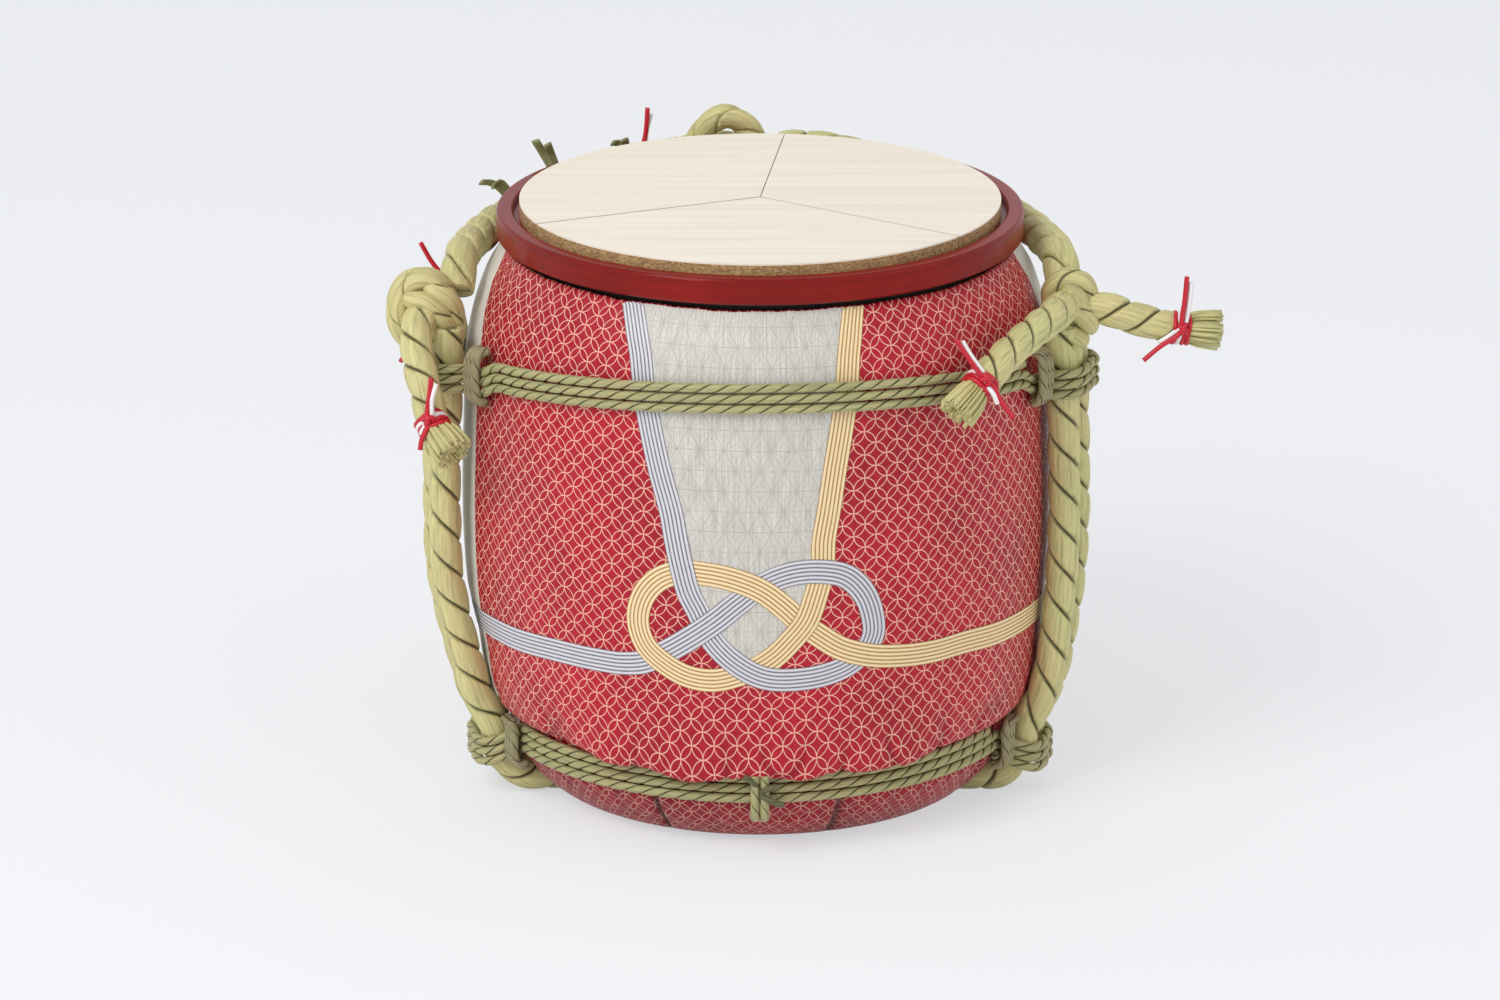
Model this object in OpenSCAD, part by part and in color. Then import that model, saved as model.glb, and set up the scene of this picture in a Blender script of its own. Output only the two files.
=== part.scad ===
// Sake barrel wrapped in straw: a stave tub with a lacquered rim and a split lid, packed
// with straw, wrapped in a printed mat and bound with straw rope. The front faces -Y and
// the origin is on the axis, on the flat underside.

/* [Tub] */
// Outside radius of the tub at the tops of its staves
tub_top_r = 94; // [76:1:114]
// Outside radius of the tub at its feet
tub_foot_r = 84; // [70:1:94]
// Height of the staves
tub_h = 202.4; // [165:0.1:245]
// Thickness of a stave
stave_t = 9; // [7:0.5:11]
// Number of staves
stave_n = 12; // [9:1:16]
// Thickness of the bottom boards
board_t = 10; // [8:0.5:12]
// Width of the middle bottom board
board_w = 54; // [40:1:66]
// How far the staves' feet stand below the bottom boards
chime_h = 9; // [6:0.5:12]
// Depth of the groove that holds the bottom boards
croze_d = 3; // [2:0.5:4]
// Height of a bamboo hoop
hoop_h = 9; // [6:0.5:14]
// Thickness of a bamboo hoop
hoop_t = 4; // [3:0.5:5]

/* [Rim and lid] */
// How far the rim stands out beyond the tub
rim_over = 6.2; // [4:0.1:8]
// Height of the rim's outer face
rim_h = 10; // [8:0.5:14]
// How far the rim stands above the staves' tops
rim_rise = 6.3; // [5:0.1:8]
// Radius of the rim's outer edges
rim_round = 1.4; // [0.8:0.1:2]
// Depth of the seat for the lid
seat_d = 2.5; // [2:0.1:3]
// How far the rim's inner lip reaches inside the staves
lip_t = 1.8; // [1:0.1:3]
// Gap round the lid in its seat
lid_gap = 2.3; // [1:0.1:4]
// Thickness of the lid's core
core_t = 5.4; // [4:0.1:8]
// Thickness of the lid's veneer
veneer_t = 0.6; // [0.4:0.1:1.2]
// Gap between the three pieces of the lid
split_gap = 0.4; // [0.2:0.1:1]
// Direction of the lid's first split
split_az = 84; // [0:1:119]

/* [Mat] */
// Thickness of the straw mat
mat_t = 2.4; // [1.5:0.1:3]
// How far the mat's belly stands out beyond the tub
belly_pad = 23.7; // [20:0.1:28]
// How far the mat stands out beyond the tub where the lower cord draws it in
waist_pad = 12.9; // [11:0.1:14]

/* [Ropes] */
// Diameter of the thick straw rope
rope_d = 14.8; // [12:0.1:16]
// Diameter of the rope round the shoulder
shoulder_d = 14; // [12:0.1:15]
// Diameter of the rope's tails
tail_d = 13; // [11:0.1:14]
// Diameter of the thin cord
cord_d = 3.6; // [2.8:0.1:3.8]
// Turns of thin cord in each winding
cord_turns = 3; // [2:1:3]
// Height that a winding climbs in each turn
cord_pitch = 4.05; // [4:0.01:4.3]
// Height of the lower winding
waist_z = 26; // [25:0.5:28]
// Height of the upper winding at the side ropes
sash_z = 166; // [150:1:170]
// How much higher the upper winding is at the front
sash_rise = 17; // [0:1:20]
// Diameter of the tie cord
tie_d = 1.7; // [1.2:0.1:2]

/* [Hidden] */
// Clearance between a soft piece and what it lies on
soft_gap = 0.3;
// How high the ropes' undersides lie above the flat base
rope_lift = 0.3;
// Directions of the three rope pairs, right, back and left
LEGS = [-12, 90, 192];
LEG_NAMES = ["right", "back", "left"];
LID_NAMES = ["left", "front", "right"];
BOARD_NAMES = ["left", "middle", "right"];
HOOP_NAMES = ["lower", "middle", "upper"];

rope_r = rope_d / 2;
cord_r = cord_d / 2;
// Between the centres of the two ropes of a pair
pair_w = rope_d + soft_gap;
rope_z = rope_lift + rope_r;
channel_r = rope_r + soft_gap;
floor_z = rope_z + channel_r + mat_t;
stave_top = floor_z + tub_h;
rim_top = stave_top + rim_rise;
rim_under = rim_top - rim_h;
rim_r = tub_top_r + rim_over;
seat_z = rim_top - seat_d;
seat_r = rim_r - 6.4;
lid_r = seat_r - lid_gap;
board_z = floor_z + chime_h;

// Outside radius of the tub at a height
function tub_r(z) =
    tub_foot_r + (tub_top_r - tub_foot_r) * min(1, max(0, (z - floor_z) / tub_h));

// A smooth curve through the points, with the given number of steps between two of them
function smooth(p, steps) = [
    for (i = [0 : len(p) - 2], j = [0 : steps - 1])
        let (
            a = p[max(i - 1, 0)],
            b = p[i],
            c = p[i + 1],
            d = p[min(i + 2, len(p) - 1)],
            t = j / steps
        )
        b + t * ((c - a) / 2 + t * ((2 * a - 5 * b + 4 * c - d) / 2
            + t * (3 * (b - c) + d - a) / 2)),
    p[len(p) - 1]
];

// The mat's outer face as [height, how far it stands out beyond the tub]
MAT_PADS = [
    [0, -12],
    [1.6, -4],
    [4, 0.5],
    [10, 7],
    [15, 10.5],
    [20, waist_pad],
    [33, waist_pad - 0.6],
    [34.8, 16],
    [37.6, 19.6],
    [46, 21.8],
    [60, 23.2],
    [floor_z + tub_h * 0.43, belly_pad],
    [stave_top - 70, belly_pad - 2.9],
    [stave_top - 36, 17.3],
    [stave_top - 20, 12.5],
    [stave_top - 12, 7.6],
    [stave_top - 7, 4.2],
    [rim_under - soft_gap, 3]
];
MAT_OUT = smooth([for (p = MAT_PADS) [tub_r(p[0]) + p[1], p[0]]], 4);
MAT_TABLE = [for (p = MAT_OUT) [p[1], p[0]]];
function mat_r(z) = lookup(z, MAT_TABLE);

// The outline moved inwards by a thickness, above the mat's floor
function normal_2d(p, i) =
    let (t = p[min(i + 1, len(p) - 1)] - p[max(i - 1, 0)]) [-t[1], t[0]] / norm(t);
function inset(p, t) = [for (i = [0 : len(p) - 1]) p[i] + t * normal_2d(p, i)];
function above(p, z) = [for (q = p) if (q[1] > z) q];

function unit(v) = v / norm(v);
function tangent(p, i) = unit(p[min(i + 1, len(p) - 1)] - p[max(i - 1, 0)]);
function square_to(v, t) = unit(v - (v * t) * t);

// A direction square to the route at each point, carried along it without a twist
function carried(p) = [
    for (
        i = 0, t = tangent(p, 0), s = square_to(abs(t[2]) < 0.8 ? [0, 0, 1] : [1, 0, 0], t);
        i < len(p);
        i = i + 1, t = tangent(p, min(i, len(p) - 1)), s = square_to(s, t)
    )
        s
];

// A closed tube of n sides along the points, of one radius or of one radius a point
module tube(p, r, n) {
    s = carried(p);
    last = len(p) - 1;
    points = [
        for (i = [0 : last])
            let (w = cross(tangent(p, i), s[i]), q = is_list(r) ? r[i] : r)
            for (k = [0 : n - 1])
                p[i] + q * (cos(360 * k / n) * s[i] + sin(360 * k / n) * w)
    ];
    walls = [
        for (i = [0 : last - 1], k = [0 : n - 1])
            let (a = i * n + k, d = i * n + (k + 1) % n)
            each [[a, a + n, d + n], [a, d + n, d]]
    ];
    first_cap = [for (k = [1 : n - 2]) [0, k, k + 1]];
    last_cap = [for (k = [1 : n - 2]) [last * n, last * n + k + 1, last * n + k]];
    polyhedron(points, concat(walls, first_cap, last_cap));
}

// A point at a direction, a radius and a height
function polar(az, r, z) = [r * cos(az), r * sin(az), z];
// A point beside a direction: outwards, sideways and up
function beside(az, out, side, z) =
    [out * cos(az) - side * sin(az), out * sin(az) + side * cos(az), z];

// Tub

module stave(i) {
    step = 360 / stave_n;
    board_top = board_z + board_t;
    color("#D9BD8B")
        rotate([0, 0, (i - 1) * step])
            rotate_extrude(angle = step)
                polygon([
                    [tub_r(floor_z), floor_z],
                    [tub_r(stave_top), stave_top],
                    [tub_r(stave_top) - stave_t, stave_top],
                    [tub_r(board_top) - stave_t, board_top],
                    [tub_r(board_top) - stave_t + croze_d, board_top],
                    [tub_r(board_z) - stave_t + croze_d, board_z],
                    [tub_r(board_z) - stave_t, board_z],
                    [tub_r(floor_z) - stave_t, floor_z]
                ]);
}

// The three boards are cut from one round that tapers as the groove does
module bottom_board(n) {
    side = n - 1;
    color("#CFB07A")
        intersection() {
            translate([0, 0, board_z])
                cylinder(
                    h = board_t,
                    r1 = tub_r(board_z) - stave_t + croze_d - 0.1,
                    r2 = tub_r(board_z + board_t) - stave_t + croze_d - 0.1,
                    $fn = 96
                );
            translate([side * board_w - board_w / 2 + min(side, 0) * 60, -120, 0])
                cube([board_w + abs(side) * 60, 240, 120]);
        }
}

module hoop(n) {
    z = [floor_z + 14, floor_z + tub_h * 0.45, stave_top - 34][n];
    r = tub_r(z) + 0.2;
    top = tub_r(z + hoop_h) + 0.2;
    color("#B9A24F")
        rotate_extrude($fn = 96)
            polygon([
                [r, z],
                [r + hoop_t - 1.2, z],
                [r + hoop_t, z + 1.6],
                [top + hoop_t, z + hoop_h - 1.6],
                [top + hoop_t - 1.2, z + hoop_h],
                [top, z + hoop_h]
            ]);
}

// Rim and lid

module rim_ring() {
    inner = tub_top_r - stave_t - lip_t;
    groove_in = tub_top_r - stave_t - 0.2;
    groove_out = tub_top_r + 0.2;
    round_top = [for (a = [0 : 15 : 90])
        [rim_r - rim_round + rim_round * cos(a), rim_top - rim_round + rim_round * sin(a)]];
    color("#A02A22")
        rotate_extrude($fn = 128)
            polygon(concat(
                [
                    [inner, rim_under],
                    [groove_in, rim_under],
                    [groove_in, stave_top],
                    [groove_out, stave_top],
                    [groove_out, rim_under],
                    [rim_r - 0.8, rim_under],
                    [rim_r, rim_under + 0.8]
                ],
                round_top,
                [
                    [seat_r + 0.8, rim_top],
                    [seat_r, rim_top - 0.8],
                    [seat_r, seat_z],
                    [inner, seat_z]
                ]
            ));
}

// One of the three pieces of a round lid, between two splits
module lid_third(n, z, h) {
    half = split_gap / 2;
    far = 2 * lid_r;
    translate([0, 0, z])
        rotate([0, 0, split_az + 60 + 120 * n])
            linear_extrude(h)
                intersection() {
                    circle(r = lid_r, $fn = 128);
                    polygon([
                        [half / sin(60), 0],
                        [half / sin(60) + far * cos(60), far * sin(60)],
                        [half / sin(60) + far, far * sin(60)],
                        [half / sin(60) + far, -far * sin(60)],
                        [half / sin(60) + far * cos(60), -far * sin(60)]
                    ]);
                }
}

module lid_core(n) {
    color("#A98A5B") lid_third(n, seat_z, core_t);
}

module lid_veneer(n) {
    color("#EADFCB") lid_third(n, seat_z + core_t, veneer_t);
}

// Mat and packing

// The way that the ropes take under the base: straight from each side, then round a bend
// into the next one. WIDE and NARROW are the bends' radii at the ropes' middle.
WIDE = 100;
NARROW = 34;
// Each rope's two sides, as places in LEGS, and the radius of its bend
ROPE_WAYS = [[0, 1, NARROW], [1, 2, NARROW], [2, 0, WIDE]];
function way_open(w) =
    let (a = LEGS[w[1]] - LEGS[w[0]]) a > 0 ? a : a + 360;
function way_mid(w) = LEGS[w[0]] + way_open(w) / 2;
function way_far(w) = (pair_w / 2 + w[2]) / sin(way_open(w) / 2);
function way_straight(w) = (pair_w / 2 + w[2]) / tan(way_open(w) / 2);

// Where the mat's floor meets its wall
floor_edge = tub_foot_r + 7;
// The hollow under the middle, where the ropes bend round a plug of folded straw
hub_r = 46;
plug_y = 6;
plug_r = 7.6;

// What the ropes take out of the mat's underside
module rope_channels() {
    difference() {
        translate([0, 0, -1]) cylinder(h = rope_z + channel_r + 1.3, r = hub_r, $fn = 96);
        translate([0, plug_y, -2]) cylinder(h = rope_z + channel_r + 4, r = plug_r, $fn = 48);
    }
    for (az = LEGS)
        rotate([0, 0, az])
            translate([hub_r - 6, 0, 0])
                rotate([90, 0, 90])
                    linear_extrude(tub_foot_r - hub_r + 46) {
                        for (s = [-1, 1])
                            translate([s * pair_w / 2, rope_z])
                                circle(r = channel_r, $fn = 48);
                        translate([-pair_w / 2 - channel_r, -2])
                            square([pair_w + 2 * channel_r, rope_z + 2]);
                    }
}

module mat_wrap() {
    inner = above(inset(MAT_OUT, mat_t), floor_z + 1);
    color("#B3152F")
        difference() {
            rotate_extrude($fn = 128)
                polygon(concat(
                    [[0, 0]],
                    MAT_OUT,
                    [for (i = [len(inner) - 1 : -1 : 0]) inner[i]],
                    [[floor_edge, floor_z], [0, floor_z]]
                ));
            rope_channels();
        }
}

module straw_packing() {
    outer = above(inset(MAT_OUT, mat_t + soft_gap), floor_z + 1);
    top = stave_top - 12;
    packed = [for (q = outer) if (q[1] < top) q];
    high = packed[len(packed) - 1];
    clear = hoop_t + 0.5;
    color("#C9BE7E")
        rotate_extrude($fn = 128)
            polygon(concat(
                [[tub_r(floor_z) + clear, floor_z + 0.2], [floor_edge - 0.8, floor_z + 0.2]],
                packed,
                [[tub_r(high[1]) + clear, high[1]]]
            ));
}

// Thick ropes

// Where a rope lies on the mat at a height
function lie_r(z) = mat_r(z) + soft_gap + rope_r;
// The radius of the bend where a rope turns in under the base
turn_in_r = 18.2;
turn_in_z = rope_z + turn_in_r;
turn_in_at = tub_foot_r + 9.2;
// How high the rope pairs reach, right, back and left
PAIR_TOPS = [stave_top - 35, stave_top - 17, stave_top - 35];

// How far out its ropes stand there
function top_r(leg) = lie_r(PAIR_TOPS[leg] - 5);

// One side of a rope, from its top down to where its bend under the base starts
function rope_down(leg, side, straight) = let (
    top = [for (d = [0, 3]) [top_r(leg), PAIR_TOPS[leg] - d]],
    high = [for (z = [PAIR_TOPS[leg] - 14 : -20 : 60]) [lie_r(z), z]],
    low = [[lie_r(48), 48], [turn_in_at + turn_in_r + 1.2, 34]],
    bend = [for (a = [0 : -15 : -90])
        [turn_in_at + turn_in_r * cos(a), turn_in_z + turn_in_r * sin(a)]],
    under = [for (r = [turn_in_at - 16 : -16 : straight + 5]) [r, rope_z]]
)
    [for (q = concat(top, high, low, bend, under)) beside(LEGS[leg], q[0], side * pair_w / 2, q[1])];

function bend_under(w) = [
    for (t = [0 : 1 / 6 : 1.001])
        let (
            mid = polar(way_mid(w), way_far(w), rope_z),
            a = way_mid(w) + 180 + (180 - way_open(w)) * (t - 0.5) * -1
        )
        mid + polar(a, w[2], 0)
];

function reversed(p) = [for (i = [len(p) - 1 : -1 : 0]) p[i]];

function rope_route(w) = concat(
    rope_down(w[0], 1, way_straight(w)),
    bend_under(w),
    reversed(rope_down(w[1], -1, way_straight(w)))
);

module thick_rope(w) {
    color("#C9CB93") tube(rope_route(w), rope_r, 10);
}

// Knots at the tops of the pairs, as [out, up] of their middles
knot_r = 11.6;
knot_seat = 11;
KNOTS = [for (leg = [0 : 2])
    [top_r(leg) + 1, PAIR_TOPS[leg] + knot_seat]];
function knot_at(leg) = polar(LEGS[leg], KNOTS[leg][0], KNOTS[leg][1]);
// Where a rope that goes to a point leaves a knot
function leave(leg, to) = knot_at(leg) + knot_seat * unit(to - knot_at(leg));

module ring(big, small) {
    rotate_extrude($fn = 64) translate([big, 0]) circle(r = small, $fn = 32);
}

// All that lies beyond a point in a direction, as far as a knot reaches
module beyond(at, along) {
    translate(at)
        rotate([0, acos(along[2]), atan2(along[1], along[0])])
            translate([-20, -20, 0])
                cube(40);
}

// A knot is a core with two turns of rope round it, flat where the ropes leave it
module knot(leg) {
    tails = [for (n = [0, 1]) smooth(tail_way(leg, n), 2)];
    color("#C9CB93")
        difference() {
            translate(knot_at(leg))
                rotate([0, 0, LEGS[leg]]) {
                    rotate([90, 0, 0]) sphere(r = knot_r, $fn = 48);
                    rotate([7, 62, 0]) rotate(220) ring(8.6, 5.2);
                    rotate([58, 9, 0]) rotate(40) ring(8.2, 5.2);
                }
            rotate([0, 0, LEGS[leg]])
                translate([mat_r(PAIR_TOPS[leg]) + 0.6 - 60, -60, PAIR_TOPS[leg] - 60])
                    cube([60, 120, 120]);
            translate([-200, -200, PAIR_TOPS[leg] - 60]) cube([400, 400, 60]);
            for (p = tails) beyond(p[0], tangent(p, 0));
            for (side = leg == 1 ? [1, -1] : [1 - leg])
                let (p = shoulder_route(side), end = leg == 1 ? len(p) - 1 : 0)
                    beyond(p[end], tangent(p, end) * (leg == 1 ? -1 : 1));
        }
}

// The rope round the shoulder, as [direction, out, up from the staves' tops]
SHOULDER = [
    [-7.6, 115, -13],
    [-1, 112.2, -10.6],
    [8, 109.8, -11.2],
    [16, 109.4, -11.6],
    [26, 109.4, -11.6],
    [38, 109.4, -11.6],
    [50, 109.4, -11.6],
    [62, 109.4, -11.8],
    [72, 109.9, -12.4],
    [79, 110.8, -12.6]
];

function shoulder_route(side) = let (
    way = [for (q = SHOULDER)
        polar(side > 0 ? q[0] : 180 - q[0], q[1] - 94 + tub_top_r, stave_top + q[2])]
)
    smooth(
        concat(
            [leave(side > 0 ? 0 : 2, way[0])],
            way,
            [leave(1, way[len(way) - 1])]
        ),
        2
    );

module shoulder_rope(side) {
    color("#C9CB93") tube(shoulder_route(side), shoulder_d / 2, 8);
}

// Windings of thin cord

// How a winding passes over a pair of ropes, as sideways and out from the pair's middle:
// it leaves the mat, climbs the first rope, crosses and comes down again
over_r = (rope_r + soft_gap / 2 + cord_r) / cos(22.5);
OVER = [
    [-pair_w / 2 - over_r - 7, -rope_r - soft_gap],
    [-pair_w / 2 - over_r - 3.4, -rope_r - soft_gap + 0.8],
    [-pair_w / 2 - over_r - 0.6, -rope_r * 0.42],
    [-pair_w / 2 - over_r - 0.2, 1],
    [-pair_w / 2 - over_r * 0.71, over_r * 0.71],
    [-pair_w / 2, over_r],
    [0, over_r - 0.3]
];
OVER_ALL = concat(OVER, [for (i = [5 : -1 : 0]) [-OVER[i][0], OVER[i][1]]]);
// How far along its way over the pair each of those points is, from 0 on the mat to 1
OVER_SHARE = [0, 0.12, 0.5, 0.7, 0.95, 1, 1, 1, 0.95, 0.7, 0.5, 0.12, 0];

function sash_height(az) =
    sash_z + sash_rise * max(0, -sin(az)) + 5 * max(0, sin(az));

// One turn of a winding, as [direction, out, up] before it climbs. dip is how much lower it
// crosses the ropes and pair_r how far out their middles are there.
function turn_way(lower, pair_r, dip) = [
    for (leg = [0 : 2])
        let (
            next = leg == 2 ? LEGS[0] + 360 : LEGS[leg + 1],
            here = LEGS[leg],
            edge = 17,
            steps = round((next - here - 2 * edge) / 12.5)
        )
        each concat(
            [
                for (i = [0 : 12])
                    let (
                        q = OVER_ALL[i],
                        z = lower ? waist_z : sash_height(here),
                        on_mat = mat_r(z) + soft_gap + cord_r,
                        flat_part = i == 0 || i == 12,
                        out = flat_part ? sqrt(on_mat ^ 2 - q[0] ^ 2)
                            : max(pair_r + q[1], sqrt(on_mat ^ 2 - q[0] ^ 2)),
                        az = here + atan(q[0] / out)
                    )
                    [az, norm([out, q[0]]), z - dip * OVER_SHARE[i]]
            ],
            [
                for (k = [0 : steps])
                    let (
                        az = here + edge + (next - here - 2 * edge) * k / steps,
                        z = lower ? waist_z : sash_height(az)
                    )
                    [az, (mat_r(z) + soft_gap + cord_r) / cos(6.5), z]
            ]
        )
];

START = LEGS[0] - 16;

// The whole winding: turns one after the other, each climbing by the pitch
function winding_route(lower, pair_r, dip) = let (
    way = turn_way(lower, pair_r, dip)
)
    [
        for (turn = [0 : cord_turns - 1], q = way)
            polar(
                q[0],
                q[1],
                q[2] + cord_pitch * (turn + (q[0] - START) / 360 - cord_turns / 2)
            )
    ];

// The least gap between points of one winding that are at least a half turn apart
function self_gap(p, per_turn) = min([
    for (i = [0 : len(p) - 1], j = [i + floor(per_turn / 2) : 1 : len(p) - 1])
        norm(p[i] - p[j])
]) - cord_d;

WAIST_ROUTE = winding_route(true, turn_in_at + 16.8, 11);
SASH_ROUTE = winding_route(false, lie_r(sash_z + 4), 0);
echo(waist_self_gap = self_gap(WAIST_ROUTE, len(WAIST_ROUTE) / cord_turns));
echo(sash_self_gap = self_gap(SASH_ROUTE, len(SASH_ROUTE) / cord_turns));

module waist_winding() {
    color("#9A9A6A") tube(WAIST_ROUTE, cord_r, 6);
}

module sash_winding() {
    color("#9A9A6A") tube(SASH_ROUTE, cord_r, 6);
}

// Hitches: turns of cord that hold a winding against the mat beside a pair of ropes
HITCH_STEP = 2;

// Half of a turn, from its middle round the cords to the mat: in to it where there is room,
// and straight along to it where the mat stands out as far as the turn
function hitch_half(z, out_r, up, way) = let (
    end = z + way * up,
    mat = max(mat_r(end), mat_r(end - way * cord_r)) + soft_gap + cord_r
)
    mat > out_r - 4
        ? [[out_r, z + way * (up - 5)], [max(out_r, mat), end - way]]
        : [
            [out_r, z + way * (up - 5)],
            [out_r - 0.4, z + way * (up - 2.6)],
            [out_r - 2.2, end - way * 0.4],
            [mat, end]
        ];

module hitch_turn(az, z, half_h) {
    out_r = mat_r(z) + cord_d + cord_r + 3 * soft_gap + 0.5;
    up = half_h + soft_gap + cord_r;
    way = concat(reversed(hitch_half(z, out_r, up, -1)), hitch_half(z, out_r, up, 1));
    tube([for (q = way) polar(az, q[0], q[1])], cord_r, 6);
}

// Which way from its pair each hitch lies: towards the front at the sides
HITCH_SIDE = [-1, 1, 1];

module hitch(leg, lower) {
    first = 15.2;
    half_h = cord_pitch * cord_turns / 2 + cord_r;
    color("#8A8468")
        for (k = [0 : 2])
            let (az = LEGS[leg] + HITCH_SIDE[leg] * (first + HITCH_STEP * k))
                hitch_turn(az, lower ? waist_z : sash_height(az), half_h);
}

// The two turns that hold the lower winding's ends together at the front
module front_hitch() {
    half_h = cord_pitch * cord_turns / 2 + cord_r;
    color("#9A9A6A")
        for (side = [-1, 1]) hitch_turn(-90 + side * HITCH_STEP / 2, waist_z, half_h);
}

// Ends of thin cord that stand up from under the rope round the shoulder, at the back left,
// as [direction, out, up from the staves' tops]
CORD_ENDS = [
    [[138.3, 104.6, -4.8], [139, 107.2, 1], [141.2, 110, 9], [144.4, 110.5, 16]],
    [[119.6, 104.6, -4.8], [120.2, 107.2, 0.6], [121.4, 109.5, 6], [123.4, 110, 9]],
    [[156, 104.6, -4.7], [157, 107.6, 0.2], [159, 112, 4.6], [161.5, 116, 7]]
];

module cord_end(i) {
    way = [for (q = CORD_ENDS[i]) polar(q[0], q[1] - 94 + tub_top_r, stave_top + q[2])];
    color("#8A8468") tube(smooth(way, 2), cord_r, 6);
}

// Tails of rope from the knots, as [direction, out, up from the staves' tops]
TAIL_WAYS = [
    [
        [[-25.5, 121, -22.5], [-34.7, 120.7, -25.2], [-41.9, 121.8, -29.2], [-46.2, 123.2, -32.8],
            [-49, 124, -36], [-55.6, 125.5, -45.5]],
        [[-10.2, 136.5, -28.4], [-9.3, 142.5, -31], [-8.6, 148.6, -33], [-8, 154.9, -34.9],
            [-7.5, 160.5, -35.8], [-6.6, 172.9, -36.9]]
    ],
    [
        [[94.2, 123, 2.4], [98.5, 129, 1], [103, 131.5, -3], [107.5, 131.5, -6.5],
            [112, 131, -9], [117, 130, -11]],
        [[85.8, 123, 2.4], [81.5, 129, 1], [77, 131.5, -3], [72.5, 131.5, -6.5],
            [68, 131, -9], [63, 130, -11]]
    ],
    [
        [[197.2, 135.5, -31.5], [200.5, 137.2, -40.4], [203.2, 137.2, -48.4], [205, 137.1, -55],
            [206.8, 137.4, -61.6], [212.9, 134.5, -71.4]],
        [[185.5, 122.5, -26], [181.5, 124.5, -28], [178, 125.5, -29.5], [175, 126, -31],
            [172.6, 126, -32], [169.6, 126, -33.5]]
    ]
];
TAIL_RADII = [1, 1, 1.04, 1.04, 0.94, 0.8, 0.98];

function tail_way(leg, n) = let (
    way = [for (q = TAIL_WAYS[leg][n])
        polar(q[0], q[1] - 94 + tub_top_r, stave_top + q[2])]
)
    concat([leave(leg, way[0])], way);

module tail(leg, n) {
    radii = [for (r = TAIL_RADII) [r, 0]];
    color("#C9CB93")
        tube(smooth(tail_way(leg, n), 2), [for (r = smooth(radii, 2)) r[0] * tail_d / 2], 8);
}

// One colour of a tie: a turn round the neck of a tail, a bead and a cut end
module tie_turn(neck, lean, length) {
    translate([0, 0, tie_d / 2 + 0.1]) rotate(140) ring(neck, tie_d / 2);
    translate([neck + tie_d * 0.7, 0, tie_d * 1.35]) {
        rotate([35, 20, 50]) sphere(r = tie_d * 0.9, $fn = 32);
        rotate([0, 52, lean]) cylinder(h = length, r = tie_d / 2, $fn = 24);
    }
}

module tie(leg, n) {
    p = tail_way(leg, n);
    along = unit(p[6] - p[4]);
    neck = TAIL_RADII[5] * tail_d / 2 + tie_d / 2 + 0.35;
    translate(p[5])
        rotate([0, acos(along[2]), atan2(along[1], along[0])]) {
            color("#C4122B") tie_turn(neck, 20, 20);
            color("#F2F0EC") rotate([180, 0, 0]) tie_turn(neck, 16, 18);
        }
}

for (i = [1 : stave_n])
    stave(i);
for (n = [0 : 2]) {
    bottom_board(n);
    hoop(n);
    lid_core(n);
    lid_veneer(n);
    knot(n);
    tail(n, 0);
    tail(n, 1);
    tie(n, 0);
    tie(n, 1);
    hitch(n, true);
    hitch(n, false);
}
rim_ring();
straw_packing();
mat_wrap();
thick_rope(ROPE_WAYS[0]);  // rope_right
thick_rope(ROPE_WAYS[1]);  // rope_left
thick_rope(ROPE_WAYS[2]);  // rope_front
shoulder_rope(1);  // shoulder_rope_right
shoulder_rope(-1);  // shoulder_rope_left
waist_winding();
sash_winding();
front_hitch();  // waist_hitch_front
for (i = [0 : 2])
    cord_end(i);
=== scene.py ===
"""Straw-wrapped sake barrel, bound with straw rope.

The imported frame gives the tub, the hoops, the lacquered rim and the lid. The soft pieces are
laid here as their maker lays them: the printed mat is one bent sheet, and each rope, cord,
knot and tie is swept strand by strand along the way it takes on the mat.
Ways are worked out in millimetres and a finished piece is in metres.
"""
import math
import random

import bmesh
import bpy
from mathutils import Matrix, Vector, noise


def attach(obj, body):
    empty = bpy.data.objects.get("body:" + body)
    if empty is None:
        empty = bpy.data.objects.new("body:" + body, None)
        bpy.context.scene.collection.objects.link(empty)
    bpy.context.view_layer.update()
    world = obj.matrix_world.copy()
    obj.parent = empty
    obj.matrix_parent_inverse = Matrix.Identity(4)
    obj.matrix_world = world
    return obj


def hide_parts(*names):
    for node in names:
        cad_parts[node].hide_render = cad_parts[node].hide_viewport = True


bl_info = {
    "name": "Straw-wrapped sake barrel",
    "version": (1, 0, 0),
    "blender": (4, 5, 0),
    "location": "View3D > Sidebar > Barrel",
    "description": "Lays the mat, ropes and cords of a sake barrel and finishes its wood",
    "category": "Object",
}

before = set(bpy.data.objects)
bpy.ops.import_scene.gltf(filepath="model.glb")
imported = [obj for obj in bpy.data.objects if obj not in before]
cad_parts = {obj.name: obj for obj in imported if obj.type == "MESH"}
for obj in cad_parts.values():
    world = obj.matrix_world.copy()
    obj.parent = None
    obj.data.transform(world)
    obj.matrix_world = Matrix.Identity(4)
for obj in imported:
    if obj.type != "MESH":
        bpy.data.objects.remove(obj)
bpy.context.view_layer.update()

# Sizes and places from here to the stage's are in millimetres, and directions in degrees

# The tub's outside radius at its foot and its top, the heights of both, and the radius beyond
# which the staves' outer faces, seen only in the gap under the rim, are painted dark as shade
TUB_FOOT, TUB_TOP, FLOOR_Z, STAVE_TOP, GAP_SHADE_R = 84.0, 94.0, 17.8, 220.2, 91.5
# How far pieces that lie on each other are kept apart
GAP = 0.3
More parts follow.
